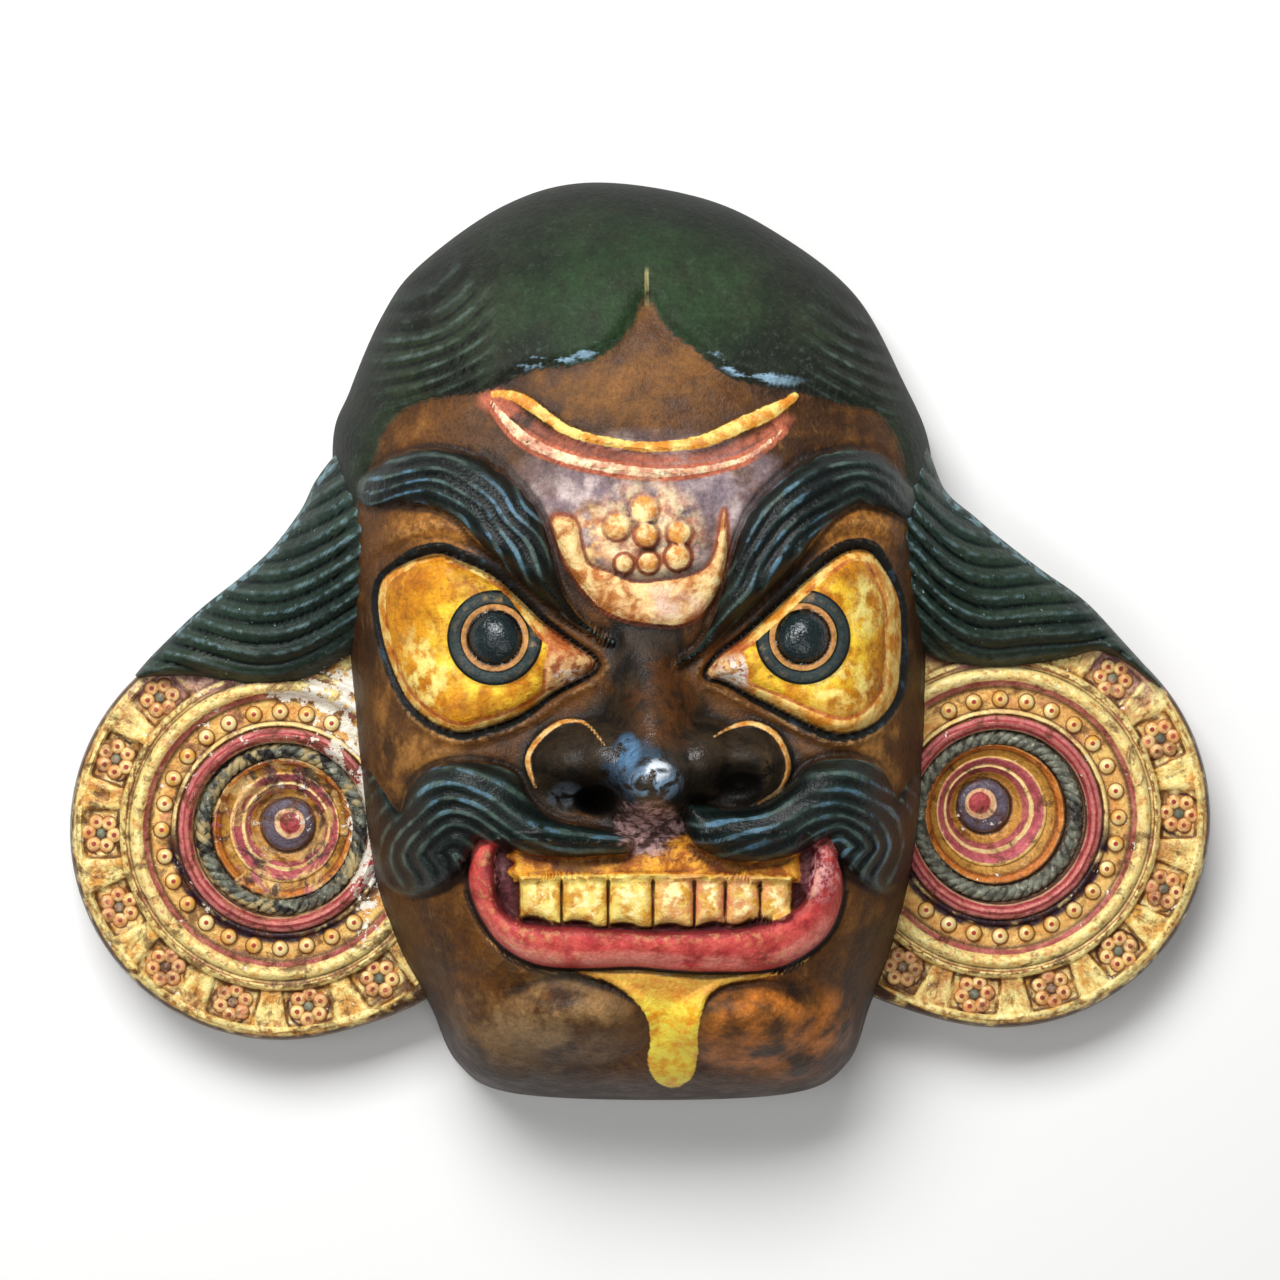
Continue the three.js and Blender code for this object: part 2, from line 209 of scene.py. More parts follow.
arcLower = [(-61.5, 95, 1), (-55, 87, 2), (-47, 79.6, 2.1), (-35, 74, 2), (-23, 70.6, 2), (-2, 67.2, 1.9),
            (12, 67, 1.7), (25, 68.6, 1.4), (38, 72, 1.1), (47, 77, 0.9), (55, 84, 0.5)]
crescent = [(-37.5, 49), (-35, 38), (-30.5, 28), (-20, 14.5), (-8, 8.2), (3, 6.4), (14, 6.2), (23, 11),
            (30, 21), (32.5, 32), (32, 50), (30.6, 50), (28.5, 37), (25, 29.5), (19, 26), (6, 23.6),
            (-4, 23), (-15, 27), (-23, 30), (-25.6, 37), (-28.5, 48)]
goatee = [
    (-27, -131.5), (-14, -137), (-5, -143.5), (0.5, -151), (2, -160), (1, -169), (4, -176), (11, -179),
    (18.5, -175), (21, -165), (21, -157), (23, -147), (26, -141.5), (34, -137), (55, -133.4), (20, -131)]
wingLeft = [(-44, -59, 0.8), (-47.2, -48, 1.3), (-42.6, -39.5, 1.4), (-35, -33.6, 1.3), (-27.5, -32.2, 1.1),
            (-22, -35, 0.9), (-16.5, -42, 0.7)]
wingRight = [(27, -39, 0.6), (34, -35, 1), (42.4, -33.4, 1.3), (51, -37, 1.4), (56, -45, 1.3),
             (57, -52.5, 1.3), (53.6, -60, 1.1), (45, -65.5, 0.8)]
flowerSpots = [(-11.4, 45.5), (-8.6, 30.6), (1.2, 31), (13, 33.2), (13.6, 43.2), (-0.5, 52.5), (0.5, 42)]
flowerSizes = [5.6, 3.9, 4.4, 5.4, 5.2, 6.0, 5.0]
# upper and lower edge of each lock, from the temple outwards
lockEdges = [
    ([(-104, 92), (-122, 76), (-131.6, 64), (-137.7, 52), (-149, 37), (-162, 25), (-179, 11.4), (-196, -5),
      (-204, -14)],
     [(-100, 2), (-112, -3), (-120.6, -6.4), (-127, -11), (-137, -15.5), (-149, -17.8), (-162, -17.4),
      (-180, -14.4), (-203, -15)]),
    ([(98, 96), (112, 78), (120, 60), (131.8, 49.4), (143, 40), (158.4, 28.2), (176, 15.5), (191.6, -1),
      (207, -18)],
     [(96, 4), (106, -2), (114, -6), (123, -8.8), (135, -10.4), (150, -10.2), (168, -7.4), (184, -5),
      (206, -19)]),
]
# each disc: its middle, how far its button lies off it, and its first flower and the step to the next
discs = [
    {"side": -1, "centre": (-146.0, -76.0), "shift": (4.6, 3.2), "first": 132.2, "pitch": 24.5},
    {"side": 1, "centre": (142.0, -71.0), "shift": (-9.3, 6.7), "first": 50.9, "pitch": -24.85},
]


# rise of each carved part over the plain face, and the pitch of its strands, in millimetres
head = {
    "grid": 300, "skins": (0, 0, 3), "hairStrand": 7.6, "browStrand": 5.0, "tacheStrand": 5.6,
    "eye": 13.5, "pupil": 5.0, "brow": 7.4, "tache": 12.8,
    "lip": 8.0, "tooth": 6.5, "gum": 5.5, "mouth": 3.0,
    "arc": 2.6, "crescent": 3.4, "bead": 3.2, "goatee": 1.8, "wing": 1.7, "hair": 5.0,
    # x, y, half width, half height and rise or depth of each swelling and hollow
    "nose": [(1, -56, 24, 19, 42), (-29, -49, 19, 17.5, 24), (41, -49.5, 18.5, 17, 23),
             (-15, -47, 20, 18, 29), (22, -47, 19, 17, 28)],
    "nostrils": [(-19, -62.5, 9, 6.5, 17), (38, -57, 8, 6, 15), (-33, -60, 6, 6, 6)],
    "chin": [(-27, -152, 33, 18, 11), (38, -154, 30, 18, 11)],
}


def reachTable(outline, centre, count=1440):
    loop = smoothPath(outline, count, True) - np.array(centre)
    angle = np.arctan2(loop[:, 1], loop[:, 0])
    order = np.argsort(angle)
    return angle[order], np.hypot(loop[:, 0], loop[:, 1])[order]


def reachAt(table, angle):
    return np.interp(angle, table[0], table[1], period=2 * math.pi)


headTable = reachTable(headOutline, block["centre"])
eyeTables = [reachTable(eye[::4], centre) for eye, centre in zip((eyeLeft, eyeRight), eyeCentres)]


def shareOut(x, y, table, centre):
    dx, dy = x - centre[0], y - centre[1]
    return np.hypot(dx, dy) / reachAt(table, np.arctan2(dy, dx))


def hairLevel(x, y, depth):
    # combed strands run along the hairline, and arch over each temple
    level = depth.copy()
    for side, cx in ((-1, 66), (1, 62)):
        arch = np.hypot(side * x - cx, 1.15 * (y - 58)) + 1.2 * wander(x, y, 15, 5.0)
        level = mix(level, arch, hump((side * x - 90) / 36, (y - 118) / 50) ** 0.5)
    return level


def faceFields(x, y):
    # depth in millimetres inside each carved or painted shape
    f = {}
    mirrored = np.abs(x)
    f["hair"] = depthInside(x, y, hairOutline, 60)
    f["hairLevel"] = hairLevel(x, y, f["hair"])
    f["eye"] = np.maximum(depthInside(x, y, eyeLeft), depthInside(x, y, eyeRight))
    rim = np.where(x < 0, mix(2.4, 2.8, ramp(86, 99, mirrored)), mix(4.3, 6.6, ramp(86, 99, x)))
    rim = rim + mix(1.4, 2.2, ramp(-10, 10, x)) * ramp(-14, -30, y)
    f["ball"] = np.minimum(f["eye"] - rim, mirrored - mix(38, 41, ramp(0, -14, y)))
    for (cx, cy), turn, cut in zip(irises, (42, 132), (13.2, 13.6)):
        # the upper lid hangs over the inner side of the iris
        over = (x - cx) * math.cos(math.radians(turn)) + (y - cy) * math.sin(math.radians(turn))
        lidEdge = cut - over + 0.12 * np.abs(y - cy)
        f["ball"] = np.where(x * cx > 0, np.minimum(f["ball"], lidEdge), f["ball"])
    near = [np.hypot(x - cx, y - cy) for cx, cy in irises]
    f["iris"] = np.minimum(*near)
    lidTop = mix(2.0, 4.6, ramp(30, 62, mirrored)) * mix(1, 0.6, ramp(92, 104, mirrored))
    lidWide = mix(mix(1.6, 3.2, ramp(30, 60, mirrored)), lidTop, ramp(-6, 8, y + 0.1 * mirrored - 4))
    f["lid"] = np.minimum(-f["eye"], lidWide + f["eye"])
    brows = [lineWidth(x, y, line, 48) for line in (browLeft, browRight)]
    f["brow"] = np.maximum(brows[0][0], brows[1][0])
    left = brows[0][0] > brows[1][0]
    share, across = [np.where(left, brows[0][k], brows[1][k]) for k in (1, 2)]
    tuft = 1.3 * np.abs(np.mod(share * 17, 1) - 0.35) * ramp(0.75, 0.35, share)
    f["brow"] = f["brow"] - np.where(np.where(left, -across, across) < 0, tuft, 0.2)
    f["browPhase"] = (across / head["browStrand"] * 2 * math.pi + 8 * share + 0.8 * np.sin(share * 17)
                      + 1.6 * wander(x, y, 9, 4.0))
    taches = [depthInside(x, y, smoothPath(line, 120, True)) for line in (tacheLeft, tacheRight)]
    f["tache"] = np.maximum(*taches)
    spines = [followLine(x, y, smoothPath(line, 40)) for line in (tacheSpineLeft, tacheSpineRight)]
    left = spines[0][0] < spines[1][0]
    share, across = [np.where(left, spines[0][k], spines[1][k]) for k in (1, 2)]
    f["tachePhase"] = (across / head["tacheStrand"] * 2 * math.pi + 5 * share + np.sin(share * 13)
                       + 1.8 * wander(x, y, 11, 6.0))
    f["lipOut"] = depthInside(x, y, lipOuter)
    f["lipIn"] = depthInside(x, y, lipInner)
    f["lip"] = np.minimum(f["lipOut"], -f["lipIn"])
    f["mouth"] = np.minimum(f["lipIn"], f["lipOut"])
    bow = -97 + 1.2 * np.cos(x / 38)
    low = -114.4 + 0.0011 * (x - 4) ** 2 - 0.9 * np.cos(x * 0.35)
    sides = [np.minimum(x - a, b - x) for a, b in zip(toothEdges[:-1], toothEdges[1:])]
    f["tooth"] = np.minimum(np.max(sides, axis=0), np.minimum(bow + 2.2 - y, y - low))
    f["gum"] = np.minimum(np.minimum(x + 54 + 1.5 * np.sin(y), 62 - x), np.minimum(-78 - y, y - bow))
    beads = [np.hypot(x - cx, y - cy) for cx, cy in flowerSpots]
    f["bead"] = np.max([size - far for size, far in zip(flowerSizes, beads)], axis=0)
    f["arcUpper"], f["arcLower"] = [lineWidth(x, y, line)[0] for line in (arcUpper, arcLower)]
    f["arc"] = np.maximum(f["arcUpper"], f["arcLower"])
    f["crescent"] = depthInside(x, y, smoothPath(crescent, 110, True))
    f["goatee"] = depthInside(x, y, smoothPath(goatee, 90, True))
    f["wing"] = np.maximum(*[lineWidth(x, y, line)[0] for line in (wingLeft, wingRight)])
    under = np.abs(f["lipOut"] + 1.9)
    f["underLip"] = np.minimum(0.75 - under, np.minimum(-118 - y, 66 - mirrored))
    return f


def faceHeight(x, y, share, f):
    # the front as a height over the flat back; the share is the way out from the middle to the rim
    turn = (y - block["centre"][1]) / np.hypot(x - block["centre"][0] + 1e-6, y - block["centre"][1])
    up = ramp(-0.1, 0.95, turn)
    full = (1 - np.minimum(1, share) ** mix(6.3, 3, up)) ** 0.43
    mirrored = np.abs(x)
    browNear = hump((mirrored - 62) / 40, (y - 52 + 0.25 * (62 - mirrored)) / 20)
    lift = 5 * browNear - 6 * hump((mirrored - 66) / 36, (y + 4) / 27)
    lift += 7 * hump((mirrored - 84) / 26, (y + 50) / 22) + 9 * hump(x / 62, (y + 102) / 34)
    lift += 4 * hump((x - 1) / 40, (y - 40) / 32)
    # bridge and ridge of the nose, its tip, wings and nostrils
    down = clip01((13 - y) / 64)
    length = np.where(y > -50, mix(3, 38, down**1.1), 38 * ramp(-74, -50, y))
    across = clip01(1 - ((x - 4 * down) / mix(16, 27, down)) ** 2) ** 1.35
    swells = [np.where(y > 14, 0, length * across * ramp(15, -2, y))]
    for cx, cy, wide, tall, high in head["nose"]:
        swells.append(high * clip01(1 - ((x - cx) / wide) ** 2 - ((y - cy) / tall) ** 2) ** 0.85)
    lift += merged(swells, 3.6)
    for cx, cy, wide, tall, deep in head["nostrils"]:
        lift -= deep * hump((x - cx) / wide, (y - cy) / tall) ** 1.3
    lift += head["wing"] * pillow(f["wing"], 1.2, 0.6)
    # eyes
    for side, table, centre in zip((-1, 1), eyeTables, eyeCentres):
        q = np.minimum(shareOut(x, y, table, centre), 1)
        lift += np.where(x * side > 0, head["eye"] * (1 - q**2.4) ** 0.6, 0)
    lift -= 0.9 * hump((f["ball"] + 0.2) / 1.2) * (f["eye"] > 0)
    lift -= 2.4 * hump(f["eye"] / 2.0) + 1.0 * hump((f["eye"] + 6.5) / 2.2) * ramp(20, 40, mirrored)
    lift += 1.8 * hump((f["eye"] + 3.4) / 2.4) + 2.8 * hump((f["eye"] + 11) / 4.4) * ramp(0, 18, y)
    seen = ramp(-0.6, 0.4, f["ball"])
    ring = f["iris"]
    lift += seen * (1.1 * hump((ring - 16.4) / 2.4) + 0.9 * hump((ring - 12.3) / 1.2)
                    - 0.8 * hump((ring - 19.6) / 1.1))
    lift += seen * (head["pupil"] * clip01(1 - (ring / 10.6) ** 2) ** 0.7 - 0.8 * hump((ring - 11) / 0.9))
    # brows, moustache and their strands
    strand = 0.5 + 0.5 * np.cos(f["browPhase"])
    lift += pillow(f["brow"], 8) * (head["brow"] + 1.7 * strand**0.7 * ramp(0.5, 3.5, f["brow"]))
    lift -= 1.2 * hump((f["brow"] + 1.6) / 1.6)
    strand = 0.5 + 0.5 * np.cos(f["tachePhase"])
    ridges = mix(0.5, 2.1, ramp(64, 92, mirrored)) * strand**0.7 * ramp(0.5, 4, f["tache"])
    lift += pillow(f["tache"], 11) * (head["tache"] + ridges)
    lift -= 1.0 * hump((f["tache"] + 1.6) / 1.6)
    # mouth
    lift += (head["lip"] * pillow(f["lip"], 7.5) * ramp(-76, -90, y)
             + 3 * pillow(f["lip"], 5) * ramp(-92, -78, y))
    lift -= head["mouth"] * ramp(0, 2.5, f["mouth"])
    lift += head["tooth"] * pillow(f["tooth"], 4.0, 0.8) + head["gum"] * pillow(f["gum"], 4.5)
    lift += 2.5 * hump((mirrored - 61) / 5, (y + 97) / 6)
    lift -= 1.6 * hump((f["lipOut"] + 1.0) / 1.3) * (y < -100)
    # chin
    for cx, cy, wide, tall, high in head["chin"]:
        lift += high * clip01(1 - ((x - cx) / wide) ** 2 - ((y - cy) / tall) ** 2) ** 1.1
    fold = 5 * hump(x / 70, (y + 139) / 7) * ramp(0.5, -1.5, f["goatee"])
    lift += head["goatee"] * pillow(f["goatee"], 3) - fold
    lift += 6 * hump((x - 8) / 62, (y + 178) / 7)
    # forehead
    lift += (head["arc"] * pillow(f["arc"], 2.4, 0.8) + head["crescent"] * pillow(f["crescent"], 4.5)
             + head["bead"] * pillow(f["bead"], 4.6, 0.7))
    lift += 1.2 * hump((x - 1) / 16, (y - 42) / 13)
    # hair
    lift += head["hair"] * ramp(-1.4, 6, f["hair"])
    wave = np.cos(f["hairLevel"] / head["hairStrand"] * 2 * math.pi + 0.5 * np.sin(x / 15))
    temple = hump((mirrored - 86) / 24, (y - 118) / 34) * mix(0.55, 1, ramp(30, -30, x))
    combed = ramp(2, 9, f["hair"]) * wave * 1.35 * ramp(0.12, 0.75, temple)
    lift += combed + 0.3 * ramp(0, 10, f["hair"]) * wander(x, y, 7, 3.0)
    crack = hump((x - 0.8 - 0.4 * np.sin(y / 2)) / 0.7) * ramp(133, 136, y) * ramp(152, 146, y)
    lift -= 1.6 * crack
    lift += 0.5 * wander(x, y, 16) + 0.22 * wander(x, y, 5, 2.0)
    return mix(block["edge"], block["face"] + lift, full)


def discGrid(count, shares):
    # square grid pushed to a disc; rings follow the given shares, spokes crowd to the long ends
    a, b = np.meshgrid(np.linspace(-1, 1, count + 1), np.linspace(-1, 1, count + 1), indexing="ij")
    wide = np.abs(a) >= np.abs(b)
    level = np.maximum(np.abs(a), np.abs(b))
    safeA, safeB = np.where(a == 0, 1, a), np.where(b == 0, 1, b)
    turn = np.where(wide, math.pi / 4 * b / safeA + np.where(a < 0, math.pi, 0),
                    math.pi / 2 - math.pi / 4 * a / safeB + np.where(b < 0, math.pi, 0))
    angle = np.arctan2(block["tall"] * np.sin(turn), block["broad"] * np.cos(turn))
    return np.interp(level, np.linspace(0, 1, len(shares)), shares), angle


def evenShares(rise, reach, weight, count=400):
    # shares of the way out at which a dome's surface is cut into equal lengths
    q = np.linspace(0, 1, count)
    steps = np.hypot(np.diff(q) * reach, np.diff(rise(q)) * weight)
    run = np.concatenate([[0], np.cumsum(steps)])
    return np.interp(np.linspace(0, 1, count), run / run[-1], q)


def gridSolid(name, x, y, z, base, skins, wrapped=False):
    # top surface from the grid, its border carried down to the base and closed there
    rows, columns = x.shape
    index = np.arange(rows * columns).reshape(rows, columns)
    points = np.stack([x, y, z], -1).reshape(-1, 3)
    if wrapped:
        after = np.roll(index, -1, 1)
        faces = np.stack([index[:-1], index[1:], after[1:], after[:-1]], -1).reshape(-1, 4).tolist()
        middle = len(points)
        points = np.vstack([points, [points[:columns].mean(0)]])
        faces += [[middle, index[0, i], after[0, i]] for i in range(columns)]
        border = index[-1]
    else:
        corners = [index[:-1, :-1], index[1:, :-1], index[1:, 1:], index[:-1, 1:]]
        faces = np.stack(corners, -1).reshape(-1, 4).tolist()
        border = np.concatenate([index[0, :-1], index[:-1, -1], index[-1, :0:-1], index[:0:-1, 0]])
    tops = len(faces)
    foot = np.arange(len(border)) + len(points)
    low = points[border].copy()
    low[:, 2] = base
    faces += [[border[i], border[(i + 1) % len(border)], foot[(i + 1) % len(border)], foot[i]]
              for i in range(len(border))]
    faces.append(foot[::-1].tolist())
    mesh = bpy.data.meshes.new(name)
    mesh.from_pydata(np.vstack([points, low]).tolist(), [], faces)
    skin = np.full(len(faces), skins[0])
    skin[tops:-1], skin[-1] = skins[1], skins[2]
    mesh.polygons.foreach_set("material_index", skin)
    work = bmesh.new()
    work.from_mesh(mesh)
    bmesh.ops.recalc_face_normals(work, faces=work.faces)
    if work.calc_volume(signed=True) < 0:
        bmesh.ops.reverse_faces(work, faces=work.faces)
    bmesh.ops.triangulate(work, faces=[face for face in work.faces if len(face.verts) > 4])
    work.to_mesh(mesh)
    work.free()
    solid = bpy.data.objects.new(name, mesh)
    bpy.context.scene.collection.objects.link(solid)
    return solid


def headBlock():
    share, angle = discGrid(head["grid"], evenShares(lambda q: 80 * (1 - q**5) ** 0.43, 120, 0.75))
    reach = reachAt(headTable, angle)
    x = block["centre"][0] + reach * share * np.cos(angle)
    y = block["centre"][1] + reach * share * np.sin(angle)
    return gridSolid("head", x, y, faceHeight(x, y, share, faceFields(x, y)), 0.0, head["skins"])


# wall and front thickness, the pocket behind the nose, and the width, length and depth of a gouge cut
hollow = {
    "grid": 64, "skins": (3, 3, 3), "wall": 14.0, "front": 16.0, "lowest": 12.0,
    "nose": 6.0, "pocket": 22.0, "gouge": (9.0, 26.0, 0.7),
}


def hollowBlock():
    share, angle = discGrid(hollow["grid"], evenShares(lambda q: 80 * (1 - q**4) ** 0.45, 110, 1.0))
    reach = reachAt(headTable, angle) - hollow["wall"]
    x = block["centre"][0] + reach * share * np.cos(angle)
    y = block["centre"][1] + reach * share * np.sin(angle)
    roof = (block["face"] - hollow["front"]) * (1 - share**4) ** 0.45
    roof += hollow["pocket"] * hump((x - hollow["nose"]) / 16, (y + 44) / 20)
    # shallow gouge cuts
    wide, long, deep = hollow["gouge"]
    cut = (np.cos(x / wide * 2 * math.pi + 2 * np.sin(y / 23))
           * np.cos(y / long * 2 * math.pi + 1.5 * np.sin(x / 17)))
    roof += deep * cut * ramp(1, 0.9, share)
    return gridSolid("hollow", x, y, np.maximum(roof, hollow["lowest"]), -2.0, hollow["skins"])


lock = {
    "along": 104, "across": 64, "skins": (2, 2, 3), "pitch": 8.2, "ridge": 2.5,
    # the strands sag steeply inside this place on each side and gently outside it
    "middle": (-148.0, 145.0), "rise": (0.0, 5.0), "sag": (0.014, 0.004), "start": 13,
}


def lockLevel(x, y):
    # strands sag from the temple to the outer edge
    left = x < 0
    off = np.where(left, lock["middle"][0] - x, x - lock["middle"][1])
    sag = np.where(off < 0, *lock["sag"]) * off**2
    return y - np.where(left, *lock["rise"]) - sag + 1.2 * np.sin(x / 9) + lock["start"]


def lockBlock(k):
    upper, lower = [smoothPath(edge, lock["along"]) for edge in lockEdges[k]]
    v = np.linspace(0, 1, lock["across"])[None, :]
    t = np.linspace(0, 1, lock["along"])[:, None]
    x = mix(upper[:, :1], lower[:, :1], v)
    y = mix(upper[:, 1:], lower[:, 1:], v)
    z = mix(27, 28, t) + mix(40, 9, t**0.85) * np.sin(math.pi * mix(0.03, 0.97, v)) ** 0.5
    level = lockLevel(x, y)
    wave = np.cos(2 * math.pi * level / lock["pitch"])
    fineWave = np.cos(3 * 2 * math.pi * level / lock["pitch"])
    fade = np.sin(math.pi * mix(0.02, 0.98, v)) ** 0.4 * ramp(0, 0.1, t) * ramp(1.0, 0.85, t)
    z = z + fade * (lock["ridge"] * (0.5 + 0.5 * wave) ** 0.6 + 0.3 * fineWave)
    return gridSolid(("lockLeft", "lockRight")[k], x, y, z, 1.0, lock["skins"])


disc = {
    "spokes": 400, "skins": (1, 1, 3), "panels": 8, "panel": 10.6, "sunk": 2.4, "flowerRing": 71.5,
    "inner": 36,    # rings inside this radius drift towards the button
    # radius and height of the turned profile, from the rim to the button
    "profile": [
        (84, 26), (83.4, 30), (81.6, 32.6), (79.8, 33), (79, 32.4), (64.6, 32.4), (64, 33.6),
        (62.6, 34.2), (61.4, 33.4), (60.4, 33.2), (59.4, 35), (57.6, 35.8), (55.6, 35), (54.6, 33),
        (53.4, 32.4), (52.4, 31.2), (43.6, 31.2), (42.9, 32.8), (42, 33), (41.2, 32.4), (40.3, 34.4),
        (38, 35.8), (35.6, 34.4), (35, 32), (34.4, 29.4), (28.6, 28.2), (28, 29.6), (27, 29.6),
        (25.6, 27.4), (22.4, 25.6), (21.6, 27), (20.4, 27), (19, 24.8), (17.6, 23.6), (16.6, 24.2),
        (15.4, 22.4), (13, 19.6), (11.4, 18.6), (10.6, 18.8), (10, 21.4), (8.8, 22.2), (6.2, 22),
        (5.6, 22.6), (3.6, 22.8), (3.2, 23.2), (1.5, 23.4),
    ],
}


def discMiddle(spec, radius):
    # the rings lie a little off one another, towards the button
    inward = clip01(1 - radius / disc["inner"])
    return spec["shift"][0] * inward, spec["shift"][1] * inward


def discPlace(spec, radius, angle):
    driftX, driftY = discMiddle(spec, radius)
    toJaw = hump((np.cos(angle) * -spec["side"] - 0.75) / 0.3, (np.sin(angle) + 0.72) / 0.3)
    reach = radius + 6 * toJaw * ramp(70, 82, radius)
    return (spec["centre"][0] + reach * np.cos(angle) + driftX,
            spec["centre"][1] + reach * np.sin(angle) + driftY)


def panelPlace(spec, angle):
    # the way past the nearest flower in radians, and whether there is a flower
    turn = np.mod((np.degrees(angle) - spec["first"]) / spec["pitch"] + 2, 360 / abs(spec["pitch"])) - 2
    nearest = np.round(turn)
    used = (nearest > -0.5) & (nearest < disc["panels"] - 0.5)
    return (turn - nearest) * math.radians(abs(spec["pitch"])), used


def panelSink(spec, radius, angle):
    # 1 in the sunk square round each flower, 0 on the wide bars between them
    off, used = panelPlace(spec, angle)
    edge = disc["panel"] - np.abs(off) * radius
    sink = used * ramp(0, 1.8, edge) * ramp(79.6, 77.8, radius) * ramp(63.6, 65.4, radius)
    groove = 0.7 * hump((edge + 4.6) / 0.9) * ramp(66, 68, radius) * ramp(78, 76, radius) * used
    return np.maximum(sink, 0.45 * groove)


def flowerReach(spec, radius, angle):
    # distance from the middle of the nearest flower
    off, used = panelPlace(spec, angle)
    return np.where(used, np.hypot(off * radius, radius - disc["flowerRing"]), 40.0)


def discBlock(k):
    spec = discs[k]
    corners = np.array(disc["profile"][::-1])
    # closer rings under the flowers and the pearls
    radii = np.concatenate([corners[:, 0], np.arange(66, 79, 1.4), np.arange(44.5, 52, 1.6)])
    radii = np.unique(np.round(radii, 2))
    height = np.interp(radii, corners[:, 0], corners[:, 1])
    angle = np.linspace(0, 2 * math.pi, disc["spokes"], endpoint=False)[None, :]
    radius = radii[:, None]
    x, y = discPlace(spec, radius, angle)
    z = height[:, None] - disc["sunk"] * panelSink(spec, radius, angle)
    z = z + 0.35 * wander(x, y, 9, 1.0 + k) * ramp(0, 20, radius)
    return gridSolid(("discLeft", "discRight")[k], x, y, z, 0.0, disc["skins"], wrapped=True)


def joined(target, others, operation):
    for other in others:
        tool = target.modifiers.new("join", "BOOLEAN")
        tool.operation, tool.solver, tool.object = operation, "MANIFOLD", other
    graph = bpy.context.evaluated_depsgraph_get()
    made = bpy.data.meshes.new_from_object(target.evaluated_get(graph))
    target.modifiers.clear()
    target.data = made
    for other in others:
        bpy.data.objects.remove(other)
    return target


def toFrame(points):
    # plan millimetres to the frame's metres
    narrow = 1 - points[:, 2:] / block["taper"]
    return np.column_stack([points[:, :2] * narrow, points[:, 2]]) / 1000


def layOut(mesh, shift):
    points = np.empty(len(mesh.vertices) * 3)
    mesh.vertices.foreach_get("co", points)
    mesh.vertices.foreach_set("co", (toFrame(points.reshape(-1, 3)) + shift).ravel())
    mesh.update()


def keepField(mesh, name, values):
    layer = mesh.attributes.get(name) or mesh.attributes.new(name, "FLOAT", "POINT")
    layer.data.foreach_set("value", np.ascontiguousarray(values, np.float32))


skins = [bpy.data.materials.new(name) for name in (
    "lacqueredDistemper", "wornGilding", "greenBlackPaint", "gougedSoftwood")]
headPart, hollowPart = headBlock(), hollowBlock()
sideParts = [discBlock(0), discBlock(1), lockBlock(0), lockBlock(1)]
for part in [headPart, hollowPart] + sideParts:
    for skin in skins:
        part.data.materials.append(skin)
headCopy = headPart.copy()
headCopy.data = headPart.data.copy()
bpy.context.scene.collection.objects.link(headCopy)
sides = joined(joined(sideParts[0], sideParts[1:], "UNION"), [headCopy], "DIFFERENCE")
headPiece = joined(headPart, [hollowPart], "DIFFERENCE")
sides.name, headPiece.name = "discsAndLocks", "headCarving"
print("stage: joined", [len(piece.data.polygons) for piece in (headPiece, sides)])


def planPoints(mesh):
    points = np.empty(len(mesh.vertices) * 3)
    mesh.vertices.foreach_get("co", points)
    return points.reshape(-1, 3)


def crestField(mesh, points, rounds):
    # how far each point stands out of its smoothed surroundings
    edges = np.empty(len(mesh.edges) * 2, int)
    mesh.edges.foreach_get("vertices", edges)
    a, b = edges.reshape(-1, 2).T
    count = np.bincount(a, minlength=len(points)) + np.bincount(b, minlength=len(points))
    soft = points.copy()
    for _ in range(rounds):
        total = np.stack([np.bincount(a, soft[b, k], len(points)) + np.bincount(b, soft[a, k], len(points))
                          for k in range(3)], -1)
        soft = 0.5 * soft + 0.5 * total / np.maximum(count, 1)[:, None]
    normals = np.empty(len(points) * 3)
    mesh.vertices.foreach_get("normal", normals)
    return np.sum((points - soft) * normals.reshape(-1, 3), -1)


def keepPlan(mesh, rounds):
    points = planPoints(mesh)
    for name, values in zip(("planX", "planY", "planZ"), points.T):
        keepField(mesh, name, values)
    keepField(mesh, "crest", crestField(mesh, points, rounds))
    return points


mesh = headPiece.data
headPoints = keepPlan(mesh, 18)
fields = faceFields(headPoints[:, 0], headPoints[:, 1])
for name in ("hair", "hairLevel", "eye", "ball", "iris", "lid", "brow", "browPhase", "tache", "tachePhase",
             "lip", "lipOut", "mouth", "tooth", "gum", "arcUpper", "arcLower", "crescent", "bead", "goatee",
             "wing", "underLip"):
    keepField(mesh, name, fields[name])

mesh = sides.data
sidePoints = keepPlan(mesh, 12)
px, py = sidePoints[:, 0], sidePoints[:, 1]
discRadius, panel, bloom = np.full(px.shape, 200.0), np.zeros(px.shape), np.full(px.shape, 40.0)
for spec in discs:
    mine = px * spec["side"] > 0
    radius = np.hypot(px - spec["centre"][0], py - spec["centre"][1])
    angle = np.arctan2(py - spec["centre"][1], px - spec["centre"][0])
    panel = np.where(mine, panelSink(spec, radius, angle), panel)
    bloom = np.where(mine, flowerReach(spec, radius, angle), bloom)
    # each round comes closer to the radius about the drifted middle
    for _ in range(8):
        driftX, driftY = discMiddle(spec, radius)
        radius = np.hypot(px - spec["centre"][0] - driftX, py - spec["centre"][1] - driftY)
    discRadius = np.where(mine, radius, discRadius)
keepField(mesh, "discRadius", discRadius)
keepField(mesh, "panel", panel)
keepField(mesh, "bloom", bloom)
keepField(mesh, "lockLevel", lockLevel(px, py))

